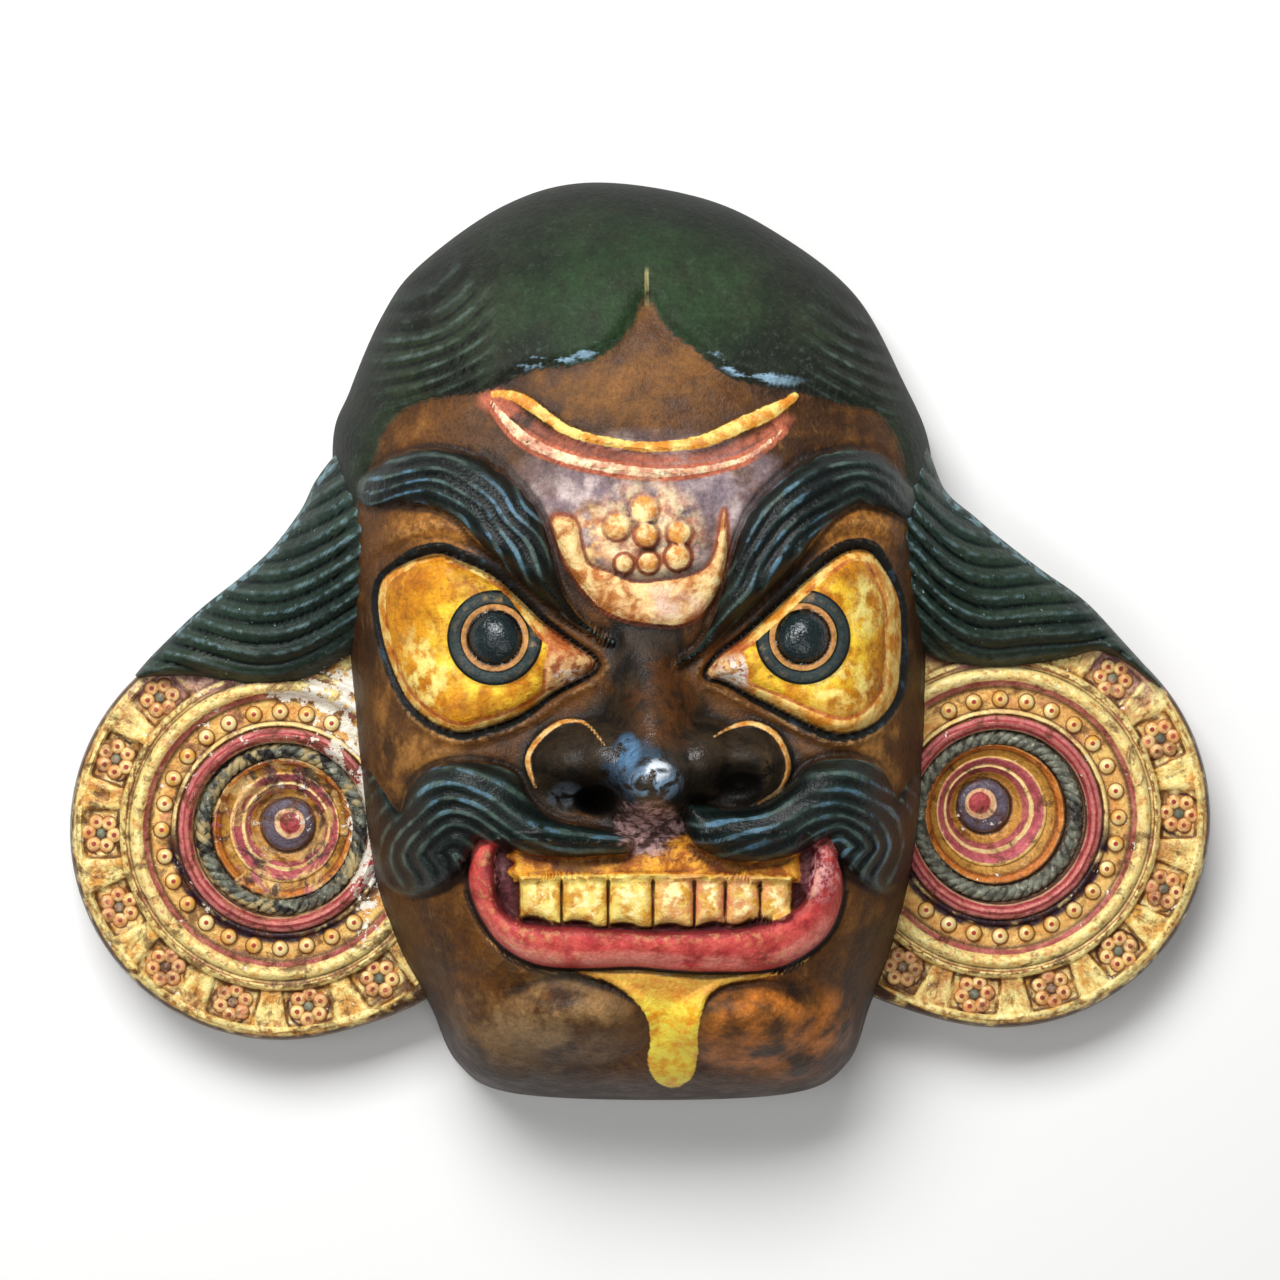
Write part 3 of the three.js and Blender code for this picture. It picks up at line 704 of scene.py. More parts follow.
both = toFrame(np.vstack([headPoints, sidePoints]))
middle = (np.array(maskLow) + np.array(maskHigh)) / 2
shift = middle - (both.min(0) + both.max(0)) / 2
shift[2] = maskLow[2] - both[:, 2].min()
for piece in (headPiece, sides):
    layOut(piece.data, shift)
    piece.data.polygons.foreach_set("use_smooth", np.ones(len(piece.data.polygons), bool))
    piece.data.set_sharp_from_angle(angle=math.radians(60))
    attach(piece, "root")
    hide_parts("mask")
print("stage: carving laid out, shift", np.round(shift, 4))



def shade(code):
    # sRGB hex to linear
    values = [int(code[i:i + 2], 16) / 255 for i in (1, 3, 5)]
    return tuple(v / 12.92 if v <= 0.04045 else ((v + 0.055) / 1.055) ** 2.4 for v in values) + (1.0,)


def add(tree, kind, inputs=None, **settings):
    # one node with its settings and links; "#..." is a colour, other text feeds in the field of that name
    made = tree.nodes.new(kind)
    for key, value in settings.items():
        setattr(made, key, value)
    for key, value in (inputs or {}).items():
        socket = made.inputs[key]
        if isinstance(value, str) and value.startswith("#"):
            value = shade(value)
        elif isinstance(value, str) and socket.type != "STRING":
            value = add(tree, "ShaderNodeAttribute", attribute_name=value).outputs["Fac"]
        if isinstance(value, bpy.types.NodeSocket):
            tree.links.new(value, socket)
        else:
            socket.default_value = value
    return made


def nodeGroup(name, numbers):
    # a geometry tree with one mesh input and named number inputs
    tree = bpy.data.node_groups.new(name, "GeometryNodeTree")
    tree.interface.new_socket("Geometry", in_out="INPUT", socket_type="NodeSocketGeometry")
    sockets = {}
    for key in numbers:
        socket = tree.interface.new_socket(key, in_out="INPUT", socket_type="NodeSocketFloat")
        sockets[key] = socket.identifier
    tree.interface.new_socket("Geometry", in_out="OUTPUT", socket_type="NodeSocketGeometry")
    return tree, sockets, add(tree, "NodeGroupInput").outputs


def close(tree, geometry, material):
    real = add(tree, "GeometryNodeRealizeInstances", {0: geometry}).outputs[0]
    smooth = add(tree, "GeometryNodeSetShadeSmooth", {0: real}).outputs[0]
    painted = add(tree, "GeometryNodeSetMaterial", {0: smooth, "Material": material}).outputs[0]
    add(tree, "NodeGroupOutput", {0: painted})


def madeFrom(name, tree, sockets, numbers, points, fields=None):
    # runs the tree on a mesh of loose points and keeps the result as a plain mesh in the frame
    seeds = bpy.data.meshes.new(name + "Points")
    seeds.from_pydata(points, [], [])
    for key, values in (fields or {}).items():
        keepField(seeds, key, values)
    holder = bpy.data.objects.new(name + "Seed", seeds)
    bpy.context.scene.collection.objects.link(holder)
    maker = holder.modifiers.new("work", "NODES")
    maker.node_group = tree
    for key, value in numbers.items():
        maker[sockets[key]] = float(value)
    graph = bpy.context.evaluated_depsgraph_get()
    made = bpy.data.meshes.new_from_object(holder.evaluated_get(graph))
    bpy.data.objects.remove(holder)
    piece = bpy.data.objects.new(name, made)
    bpy.context.scene.collection.objects.link(piece)
    plan = planPoints(made)
    keepField(made, "planX", plan[:, 0])
    keepField(made, "planY", plan[:, 1])
    layOut(made, shift)
    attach(piece, "root")
    return piece


def ball(tree, size, flat, dot=0.0):
    # a flattened ball that remembers how far each point is from its axis
    sphere = add(tree, "GeometryNodeMeshUVSphere", {"Segments": 14, "Rings": 9, "Radius": size}).outputs[0]
    flatter = add(tree, "GeometryNodeTransform", {0: sphere, "Scale": (1, 1, flat)}).outputs[0]
    place = add(tree, "GeometryNodeInputPosition").outputs[0]
    level = add(tree, "ShaderNodeVectorMath", {0: place, 1: (1, 1, 0)}, operation="MULTIPLY").outputs[0]
    far = add(tree, "ShaderNodeVectorMath", {0: level}, operation="LENGTH").outputs["Value"]
    kept = add(tree, "ShaderNodeMath", {0: far, 1: dot}, operation="ADD").outputs[0]
    return add(tree, "GeometryNodeStoreNamedAttribute", {0: flatter, "Name": "dot", "Value": kept},
               data_type="FLOAT", domain="POINT").outputs[0]


def setOut(tree, points, instance, turn=None):
    # one copy on each point
    inputs = {"Points": points, "Instance": instance}
    if turn is not None:
        inputs["Rotation"] = add(tree, "ShaderNodeCombineXYZ", {"Z": turn}).outputs[0]
    return add(tree, "GeometryNodeInstanceOnPoints", inputs).outputs[0]


def ringPoints(spec, ring, ground, angle):
    return [(spec["centre"][0] + ring * math.cos(a), spec["centre"][1] + ring * math.sin(a), ground)
            for a in angle]


def clearOfHead(points, gap):
    x, y, _ = np.array(points).T
    clear = shareOut(x, y, headTable, block["centre"]) * 115 > 115 + gap
    return [point for point, out in zip(points, clear) if out]


flower = {"ground": 30.1, "petals": 6, "reach": 5.1, "petal": 3.3, "heart": 2.2}


def flowers(paint):
    # a ring of petals round a heart, one flower in each sunk panel
    tree, sockets, given = nodeGroup("flowerWork", ("petals", "reach", "petal", "heart"))
    petal = ball(tree, given["petal"], 0.62)
    count = add(tree, "FunctionNodeFloatToInt", {0: given["petals"]}).outputs[0]
    ring = add(tree, "GeometryNodeMeshCircle", {"Vertices": count, "Radius": given["reach"]}).outputs[0]
    heart = ball(tree, given["heart"], 0.85, dot=10.0)
    bloom = add(tree, "GeometryNodeJoinGeometry")
    for part in (setOut(tree, ring, petal), heart):
        tree.links.new(part, bloom.inputs[0])
    places = add(tree, "GeometryNodeMeshToPoints", {0: given["Geometry"]}).outputs[0]
    turn = add(tree, "GeometryNodeInputNamedAttribute", {"Name": "turn"}, data_type="FLOAT").outputs[0]
    close(tree, setOut(tree, places, bloom.outputs[0], turn), paint)
    for spec, name in zip(discs, ("flowersLeft", "flowersRight")):
        angle = np.radians(spec["first"] + spec["pitch"] * np.arange(disc["panels"]))
        points = ringPoints(spec, disc["flowerRing"], flower["ground"], angle)
        madeFrom(name, tree, sockets, {key: flower[key] for key in sockets}, points,
                 {"turn": angle + 0.25 * np.sin(5 * np.arange(len(points)))})


pearl = {"ring": 47.4, "ground": 31.3, "count": 28, "size": 3.6}


def pearls(paint):
    # a ring of flattened balls, left out where the head covers the disc
    tree, sockets, given = nodeGroup("pearlWork", ("size",))
    places = add(tree, "GeometryNodeMeshToPoints", {0: given["Geometry"]}).outputs[0]
    close(tree, setOut(tree, places, ball(tree, given["size"], 0.8)), paint)
    for spec, name in zip(discs, ("pearlsLeft", "pearlsRight")):
        angle = np.linspace(0, 2 * math.pi, pearl["count"], endpoint=False)
        points = clearOfHead(ringPoints(spec, pearl["ring"], pearl["ground"], angle), 4)
        madeFrom(name, tree, sockets, {"size": pearl["size"]}, points)


rope = {
    "ring": 31.4, "ground": 29.3, "turns": 17, "strand": 1.75, "reach": 1.45, "strands": 3, "steps": 420,
    "sides": 8,
}


def ropes(paint):
    # strands wound round a ring
    tree, sockets, given = nodeGroup("ropeWork", ("ring", "turns", "strand", "reach"))
    strands = add(tree, "GeometryNodeJoinGeometry")
    index = add(tree, "GeometryNodeInputIndex").outputs[0]
    share = add(tree, "ShaderNodeMath", {0: index, 1: rope["steps"]}, operation="DIVIDE").outputs[0]
    winding = add(tree, "ShaderNodeMath", {0: share, 1: given["turns"]}, operation="MULTIPLY").outputs[0]
    place = add(tree, "GeometryNodeInputPosition").outputs[0]
    outward = add(tree, "ShaderNodeVectorMath", {0: place}, operation="NORMALIZE").outputs[0]
    for k in range(rope["strands"]):
        circle = add(tree, "GeometryNodeCurvePrimitiveCircle", {
            "Resolution": rope["steps"], "Radius": given["ring"]}).outputs[0]
        start = k * 2 * math.pi / rope["strands"]
        turn = add(tree, "ShaderNodeMath", {0: winding, 1: 2 * math.pi, 2: start},
                   operation="MULTIPLY_ADD").outputs[0]
        across = []
        for wave in ("COSINE", "SINE"):
            swing = add(tree, "ShaderNodeMath", {0: turn}, operation=wave).outputs[0]
            across.append(add(tree, "ShaderNodeMath", {0: swing, 1: given["reach"]},
                              operation="MULTIPLY").outputs[0])
        side = add(tree, "ShaderNodeVectorMath", {0: outward, "Scale": across[0]},
                   operation="SCALE").outputs[0]
        rise = add(tree, "ShaderNodeCombineXYZ", {"Z": across[1]}).outputs[0]
        offset = add(tree, "ShaderNodeVectorMath", {0: side, 1: rise}, operation="ADD").outputs[0]
        wound = add(tree, "GeometryNodeSetPosition", {0: circle, "Offset": offset}).outputs[0]
        section = add(tree, "GeometryNodeCurvePrimitiveCircle", {
            "Resolution": rope["sides"], "Radius": given["strand"]}).outputs[0]
        strand = add(tree, "GeometryNodeCurveToMesh", {0: wound, 1: section}).outputs[0]
        tree.links.new(strand, strands.inputs[0])
    places = add(tree, "GeometryNodeMeshToPoints", {0: given["Geometry"]}).outputs[0]
    close(tree, setOut(tree, places, strands.outputs[0]), paint)
    for spec, name in zip(discs, ("ropeLeft", "ropeRight")):
        driftX, driftY = discMiddle(spec, rope["ring"])
        middle = (spec["centre"][0] + driftX, spec["centre"][1] + driftY, rope["ground"])
        madeFrom(name, tree, sockets, {key: rope[key] for key in sockets}, [middle])


class Brush:
    # masks and layers of paint: sizes are in millimetres, and a field may be given by its name
    def __init__(self, material):
        material.use_nodes = True
        self.tree = material.node_tree
        self.tree.nodes.clear()
        self.place = add(self.tree, "ShaderNodeTexCoord").outputs["Object"]

    def grain(self, size, detail=3.0, rough=0.55, stretch=(1, 1, 1), twist=0.0):
        # uneven tone in spots of about this size
        place = add(self.tree, "ShaderNodeMapping", {"Vector": self.place, "Scale": stretch}).outputs[0]
        return add(self.tree, "ShaderNodeTexNoise", {
            "Vector": place, "Scale": 1000 / size, "Detail": detail, "Roughness": rough,
            "Distortion": twist}).outputs[0]

    def fade(self, value, low, high, start=0.0, end=1.0):
        # runs smoothly from start to end as the value goes from low to high
        return add(self.tree, "ShaderNodeMapRange", {0: value, 1: low, 2: high, 3: start, 4: end},
                   interpolation_type="SMOOTHSTEP").outputs[0]

    def patches(self, size, low, high, *kind, **more):
        # 0 to 1 in patches of about this size
        return self.fade(self.grain(size, *kind, **more), low, high)

    def patchy(self, first, second, size, low, high, *kind, **more):
        # two tones in patches of about this size
        return self.layer(first, second, self.patches(size, low, high, *kind, **more))

    def folded(self, operation, masks):
        kept = masks[0]
        for mask in masks[1:]:
            kept = add(self.tree, "ShaderNodeMath", {0: kept, 1: mask}, operation=operation).outputs[0]
        return kept

    def both(self, *masks):
        # where all the masks hold, or a mask thinned by a number
        return self.folded("MULTIPLY", masks)

    def either(self, *masks):
        return self.folded("MAXIMUM", masks)

    def layer(self, under, top, *masks):
        # a tone laid over another where all the masks hold, or one roughness over another
        number = isinstance(top, float)
        kind, first, out = ("FLOAT", 2, 0) if number else ("RGBA", 6, 2)
        inputs = {0: self.both(*masks), first: under, first + 1: top}
        return add(self.tree, "ShaderNodeMix", inputs, data_type=kind).outputs[out]

    def pushed(self, value, mask, amount, middle=0.0):
        # a value raised where the mask is over its middle and lowered where it is under
        if middle:
            mask = add(self.tree, "ShaderNodeMath", {0: mask, 1: middle}, operation="SUBTRACT").outputs[0]
        return add(self.tree, "ShaderNodeMath", {0: mask, 1: amount, 2: value},
                   operation="MULTIPLY_ADD").outputs[0]

    def within(self, depth, soft=0.25, rough=0.5, size=2.0, inset=0.0):
        # a painted edge: the depth field, shaken a little by the hand that painted it
        shaken = self.pushed(depth, self.grain(size, 4), rough * 2, 0.5)
        return self.fade(shaken, inset - soft, inset + soft)

    def band(self, value, low, high, soft=0.25):
        over = self.fade(value, low - soft, low + soft)
        return self.both(over, self.fade(value, high + soft, high - soft))

    def spot(self, x, y, wide, tall, power=1.0):
        # soft round patch at a plan place
        squares = []
        for name, middle, reach in (("planX", x, wide), ("planY", y, tall)):
            off = add(self.tree, "ShaderNodeMath", {0: name, 1: middle}, operation="SUBTRACT").outputs[0]
            share = add(self.tree, "ShaderNodeMath", {0: off, 1: reach}, operation="DIVIDE").outputs[0]
            squares.append(self.both(share, share))
        far = self.folded("ADD", squares)
        return self.folded("POWER", (self.fade(far, 1.0, 0.0), power))

    def mottle(self, colour, size, amount):
        # brush marks and grime lighten and darken the paint unevenly
        marks = self.grain(size, 6, 0.72)
        grey = add(self.tree, "ShaderNodeMapRange", {0: marks, 1: 0.28, 2: 0.72}).outputs[0]
        return add(self.tree, "ShaderNodeMix", {0: amount, 6: colour, 7: grey}, data_type="RGBA",
                   blend_type="OVERLAY").outputs[2]

    def upward(self):
        # 1 on faces turned to the front, 0 on the upright walls
        normal = add(self.tree, "ShaderNodeNewGeometry").outputs["True Normal"]
        return self.fade(add(self.tree, "ShaderNodeSeparateXYZ", {0: normal}).outputs[2], 0.26, 0.5)

    def finish(self, colour, roughness, metallic=0.0, coat=0.3, bumps=(), **plain):
        # bumps are a height from 0 to 1 and how far that stands out in metres, the coarsest first
        bump = {}
        for height, distance in bumps:
            made = add(self.tree, "ShaderNodeBump", {"Height": height, "Distance": distance, **bump})
            bump = {"Normal": made.outputs[0]}
        if bump:
            plain["Coat Normal"] = bump["Normal"]
        surface = add(self.tree, "ShaderNodeBsdfPrincipled", {
            "Base Color": colour, "Roughness": roughness, "Metallic": metallic, "Coat Weight": coat,
            "Specular IOR Level": 0.24, **plain, **bump})
        add(self.tree, "ShaderNodeOutputMaterial", {0: surface.outputs[0]})


def hairColour(b, level, pitch, waved):
    # green-black paint, with painted shade in the grooves between strands, and greyer on the strands' crests
    # where they are rubbed and where a painted highlight lies
    strand = add(b.tree, "ShaderNodeMath", {0: b.both(level, 2 * math.pi / pitch)},
                 operation="COSINE").outputs[0]
    strand = b.pushed(strand, b.grain(7), 1.2)
    base = b.patchy("#11170f", "#273220", 30, 0.35, 0.65)
    base = b.layer(base, "#3f4a3a", b.patches(2.4, 0.5, 0.8, 4, 0.7))
    patch = b.patches(16, 0.38, 0.6)
    rubbedAndHighlight = b.both(b.fade(strand, 1.0, 2.0), patch, waved)
    # painted shade: the grooves between the strands are darker
    base = b.layer(base, "#080b0a", b.fade(strand, 0.2, -0.6), waved)
    return b.layer(base, "#5c6c66", rubbedAndHighlight, 0.8), strand


def skinColour(b, fine, middling):
    # brown distemper over the wood: warm at the temples and cheeks, a pale bloom on the forehead that is
    # partly worn paint and partly a painted reflection
    colour = b.patchy("#3a220c", "#60390f", 46, 0.32, 0.68)
    colour = b.layer(colour, "#8a5a24", b.fade(middling, 0.5, 0.72), 0.55)
    colour = b.layer(colour, "#241507", b.fade(fine, 0.5, 0.72), 0.45)
    scratched = b.patches(3.5, 0.56, 0.72, 5, 0.7, stretch=(1, 0.3, 1))
    colour = b.layer(colour, "#8e6436", scratched, 0.4)
    top = b.both(b.spot(2, 112, 56, 34), 0.8)
    colour = b.layer(colour, b.layer("#523215", "#7c5226", b.fade(middling, 0.35, 0.65)), top)
    # a lilac bloom and a violet patch on the forehead: partly worn paint, partly a painted reflection
    bloom = b.both(b.spot(0, 52, 66, 34, 0.6), b.patches(19, 0.28, 0.55, 4, 0.6, twist=0.5))
    bloomAndReflectionTone = b.patchy("#85737c", "#cbb8b4", 8, 0.38, 0.62, 4)
    colour = b.layer(colour, bloomAndReflectionTone, bloom, 0.85)
    violetAndReflection = b.both(b.spot(32, 62, 34, 24), b.patches(13, 0.4, 0.6))
    colour = b.layer(colour, "#74666f", violetAndReflection, 0.7)
    low = b.both(b.spot(-42, -150, 44, 30), b.patches(17, 0.35, 0.6, 4))
    colour = b.layer(colour, "#9c7a4e", low, 0.8)
    low = b.both(b.spot(52, -156, 44, 28), b.patches(15, 0.35, 0.65, 4))
    colour = b.layer(colour, "#d67e2c", low, 0.9)
    # darker towards the bottom of the chin, in patches
    darkPatches = b.both(b.fade("planY", -150, -182), b.fade(middling, 0.35, 0.6))
    colour = b.layer(colour, "#2e1f12", darkPatches, 0.7)
    cheek = b.either(b.spot(-92, -34, 24, 40), b.spot(88, -44, 24, 26))
    colour = b.layer(colour, "#9a6a30", cheek, b.fade(middling, 0.42, 0.62), 0.8)
    for x in (-74, 78):
        lid = b.both(b.spot(x, 46, 36, 15), 0.8)
        colour = b.layer(colour, b.layer("#8c5824", "#bc7e34", b.fade(fine, 0.4, 0.65)), lid)
    return colour


def nosePaint(b, colour, fine, middling):
    # the nose is smoked dark; its ridge is worn to red-brown, its tip has a painted blue-white highlight,
    # and its nostril pits are painted black as painted shade
    nose = b.either(b.spot(2, -48, 44, 40), b.spot(0, -6, 20, 30))
    nose = b.either(nose, b.spot(-30, -51, 27, 24), b.spot(42, -51, 25, 24))
    smoked = b.layer("#15120e", "#2f2417", b.fade(middling, 0.4, 0.6))
    colour = b.layer(colour, smoked, b.fade(nose, 0.05, 0.55))
    wear = b.both(b.spot(8, -24, 20, 26), b.patches(9, 0.36, 0.6, 4))
    colour = b.layer(colour, "#56300f", wear, 0.8)
    # painted highlights: blue-white patches on the tip of the nose, and a grey worn patch on the left wing
    for x, y, wide, tall, tone in ((-3, -52, 17, 14, "#33475a"), (4, -57, 12, 9, "#7f9ab2"),
                                   (-7, -45, 6, 9, "#4f7494"), (5, -52, 6, 5, "#dfe8ee"),
                                   (-32, -62, 9, 6, "#59626a")):
        shine = b.both(b.spot(x, y, wide, tall, 0.7), b.patches(8, 0.42, 0.56, 3, 0.55, twist=0.8))
        colour = b.layer(colour, tone, shine)
    # painted shade: black in the nostril pits
    for x, y in ((-20, -64), (38, -59)):
        colour = b.layer(colour, "#0a0806", b.fade(b.spot(x, y, 12, 8), 0.2, 0.6))
    return colour


def crestPaint(b, colour, fine, middling):
    # raised lines, crescent and beads of the forehead
    between = b.both(b.fade("arcUpper", -8, -3), b.fade("arcLower", -8, -3))
    between = b.either(between, b.band("arcLower", -1.8, 0.3, 0.6))
    colour = b.layer(colour, b.layer("#8c3a26", "#d67e5c", fine), between, b.patches(12, 0.24, 0.44, 4))
    gilt = b.patchy("#e0982e", "#f7da78", 7, 0.38, 0.6, 4, 0.6)
    colour = b.layer(colour, gilt, b.within("arcUpper", 0.35, 0.8, 2.5, 0.1))
    pinkish = b.patchy("#d79a80", "#f6dfb0", 7, 0.4, 0.62, 4, 0.6)
    worn = b.patches(8, 0.3, 0.42, 4, 0.65)
    colour = b.layer(colour, pinkish, b.within("arcLower", 0.3, 0.7, 2.5, 0.1), worn)
    peach = b.patchy("#b86e30", "#f3cf8e", 7, 0.38, 0.62, 4, 0.6, twist=0.5)
    patch = b.both(b.spot(-22, 38, 13, 17, 0.5), b.patches(6, 0.38, 0.54, 4, 0.6))
    colour = b.layer(colour, peach, patch)
    cluster = b.both(b.spot(1, 42, 24, 25, 0.5), b.patches(7, 0.3, 0.5, 4, 0.6))
    colour = b.layer(colour, b.patchy("#c98660", "#f4d8a6", 5, 0.4, 0.6, 4), cluster, 0.9)
    rings = b.both(b.band("bead", -1.0, 0.5, 0.35), b.fade("planY", 52, 36, 0.3, 0.95))
    colour = b.layer(colour, "#8c4826", rings)
    beadTone = b.patchy("#d48c3c", "#fbe0a0", 5, 0.4, 0.6, 4, 0.65)
    colour = b.layer(colour, beadTone, b.within("bead", 0.4, 0.9, 3, 0.9))
    pale = b.layer("#f4e0bc", "#e4b09c", fine)
    gold = b.layer(peach, pale, b.spot(7, 15, 20, 9), b.fade(middling, 0.38, 0.58))
    colour = b.layer(colour, "#90482a", b.band("crescent", -1.5, 0.6, 0.5), 0.85)
    colour = b.layer(colour, gold, b.within("crescent", 0.4, 0.7, 2.5, 0.2))
    for name, dull, bright, rough, inset in (("wing", "#c8822c", "#f0c480", 0.5, 0.35),
                                             ("goatee", "#f4ae26", "#ffe650", 0.9, 0.0),
                                             ("underLip", "#c8822c", "#f0c480", 0.8, 0.35)):
        tone = b.patchy(dull, bright, 5, 0.36, 0.62, 4, 0.6)
        if name == "goatee":
            tone = b.layer(tone, "#dc9c44", b.fade("planY", -150, -138), 0.8)
        colour = b.layer(colour, tone, b.within(name, 0.35, rough, 2.2, inset))
    return colour


def mouthPaint(b, colour, fine, middling):
    # red lips with a painted highlight on the lower lip, gilded gum and teeth, purple-black corners
    inside = b.patchy("#2c1018", "#6e3440", 6, 0.42, 0.6)
    colour = b.layer(colour, inside, b.within("mouth", 0.3, 0.4))
    for x in (-61, 66):
        colour = b.layer(colour, "#c98a8c", b.spot(x, -91, 8, 11), b.fade(fine, 0.4, 0.6))
    gumGold = b.patchy("#a85c16", "#e6a232", 6, 0.4, 0.6, 4, 0.65, twist=0.4)
    gumGold = b.layer(gumGold, "#7e3c18", b.spot(8, -84, 44, 9), b.fade(fine, 0.5, 0.66))
    colour = b.layer(colour, gumGold, b.within("gum", 0.5, 1.2, 3))
    gilt = b.patchy("#d29636", "#f8de78", 6, 0.36, 0.6, 4, 0.6, twist=0.4)
    gilt = b.layer(gilt, "#d98e60", b.spot(30, -104, 34, 16, 0.6), b.patches(6, 0.36, 0.6, 4))
    gilt = b.layer(gilt, "#fdeeaa", b.fade("tooth", 2.6, 4.4), b.fade(fine, 0.45, 0.62))
    colour = b.layer(colour, gilt, b.within("tooth", 0.3, 0.4))
    gaps = b.both(b.band("tooth", -1.2, 0.5, 0.4), b.fade("gum", 0.0, -2.5))
    colour = b.layer(colour, "#7a4219", gaps, b.fade(b.grain(5, 4, 0.6), 0.36, 0.56, 0.25, 0.95))
    red = b.patchy("#ac2e30", "#d2564e", 10, 0.35, 0.65)
    shadow = b.either(b.fade("lip", 4.5, 0.5), b.fade("planY", -104, -92))
    red = b.layer(red, "#5f1420", shadow, b.fade("lipOut", 3, 8), 0.85)
    # painted highlight: paler pink along the crest of the lower lip
    low = b.both(b.band("lipOut", 1.2, 6.5, 1.4), b.fade("planY", -106, -118))
    red = b.layer(red, "#e07c6e", low, b.patches(14, 0.32, 0.6))
    right = b.both(b.spot(70, -92, 10, 16), b.fade(fine, 0.4, 0.6))
    red = b.layer(red, "#dc9a9a", right)
    colour = b.layer(colour, red, b.within("lip", 0.35, 0.4))
    return b.layer(colour, "#2a100c", b.band("lipOut", -1.0, 0.4, 0.3), b.fade("planY", -78, -86))


def eyePaint(b, colour, fine, middling):
    # staring gold eyes: cream rim, red line below, dark ringed iris and a glossy pupil, with painted
    # highlights on the gold and patches of painted blue sheen in the dark lid line
    mirrored = add(b.tree, "ShaderNodeMath", {0: "planX"}, operation="ABSOLUTE").outputs[0]
    rim = b.patchy("#d88e28", "#f6cf78", 7, 0.35, 0.65)
    corner = b.patchy("#e0b478", "#9c5430", 4, 0.4, 0.62, 4)
    corner = b.layer(corner, "#b8602e", b.fade("planY", -9, -3), b.fade(mirrored, 24, 32))
    white = b.both(b.spot(38, -13, 12, 8), b.fade(fine, 0.42, 0.55))
    white = b.either(white, b.both(b.spot(-30, -15, 8, 5), b.fade(fine, 0.45, 0.6)))
    corner = b.layer(corner, "#f4efe8", white)
    colour = b.layer(colour, b.layer(rim, corner, b.fade(mirrored, 46, 37)), b.within("eye", 0.3, 0.2))
    gold = b.patchy("#a86206", "#d69014", 13, 0.36, 0.64, 4, 0.6)
    gold = b.layer(gold, "#f3c838", b.fade("iris", 34, 20), b.patches(9, 0.36, 0.6))
    gold = b.layer(gold, "#8a560e", b.fade(fine, 0.58, 0.72), 0.7)
    # painted highlights on the gold of the eyeballs
    for x, y, wide, tall in ((-88, -12, 15, 22), (78, -18, 18, 14), (88, 14, 10, 16)):
        shine = b.both(b.spot(x, y, wide, tall), b.patches(6, 0.42, 0.62, 4))
        gold = b.layer(gold, "#fbe884", shine, 0.85)
    inBall = b.within("ball", 0.3, 0.3, 2, 0.2)
    colour = b.layer(colour, gold, inBall)
    redLine = b.both(b.band("ball", -1.1, 0.4, 0.35), b.fade("eye", 0.5, 1.5))
    redLine = b.both(redLine, b.either(b.fade("planY", -6, -20), b.patches(8, 0.45, 0.6)))
    colour = b.layer(colour, "#a8401a", redLine, 0.75)
    for low, high, tone in ((13.7, 18.9, "#2c3837"), (18.1, 19.1, "#0d1211"), (13.4, 14.2, "#0d1211"),
                            (11.2, 13.3, "#b9824a"), (-1.0, 11.2, "#080c0d"), (-1.0, 9.8, "#1b2627")):
        colour = b.layer(colour, tone, b.band("iris", low, high, 0.2), inBall)
    # the dark lid line, with patches of painted blue sheen
    line = b.patchy("#0c1110", "#2a3c48", 6, 0.55, 0.7)
    return b.layer(colour, line, b.within("lid", 0.3, 0.5)), b.both(b.band("iris", -1, 11.2, 0.3), inBall)


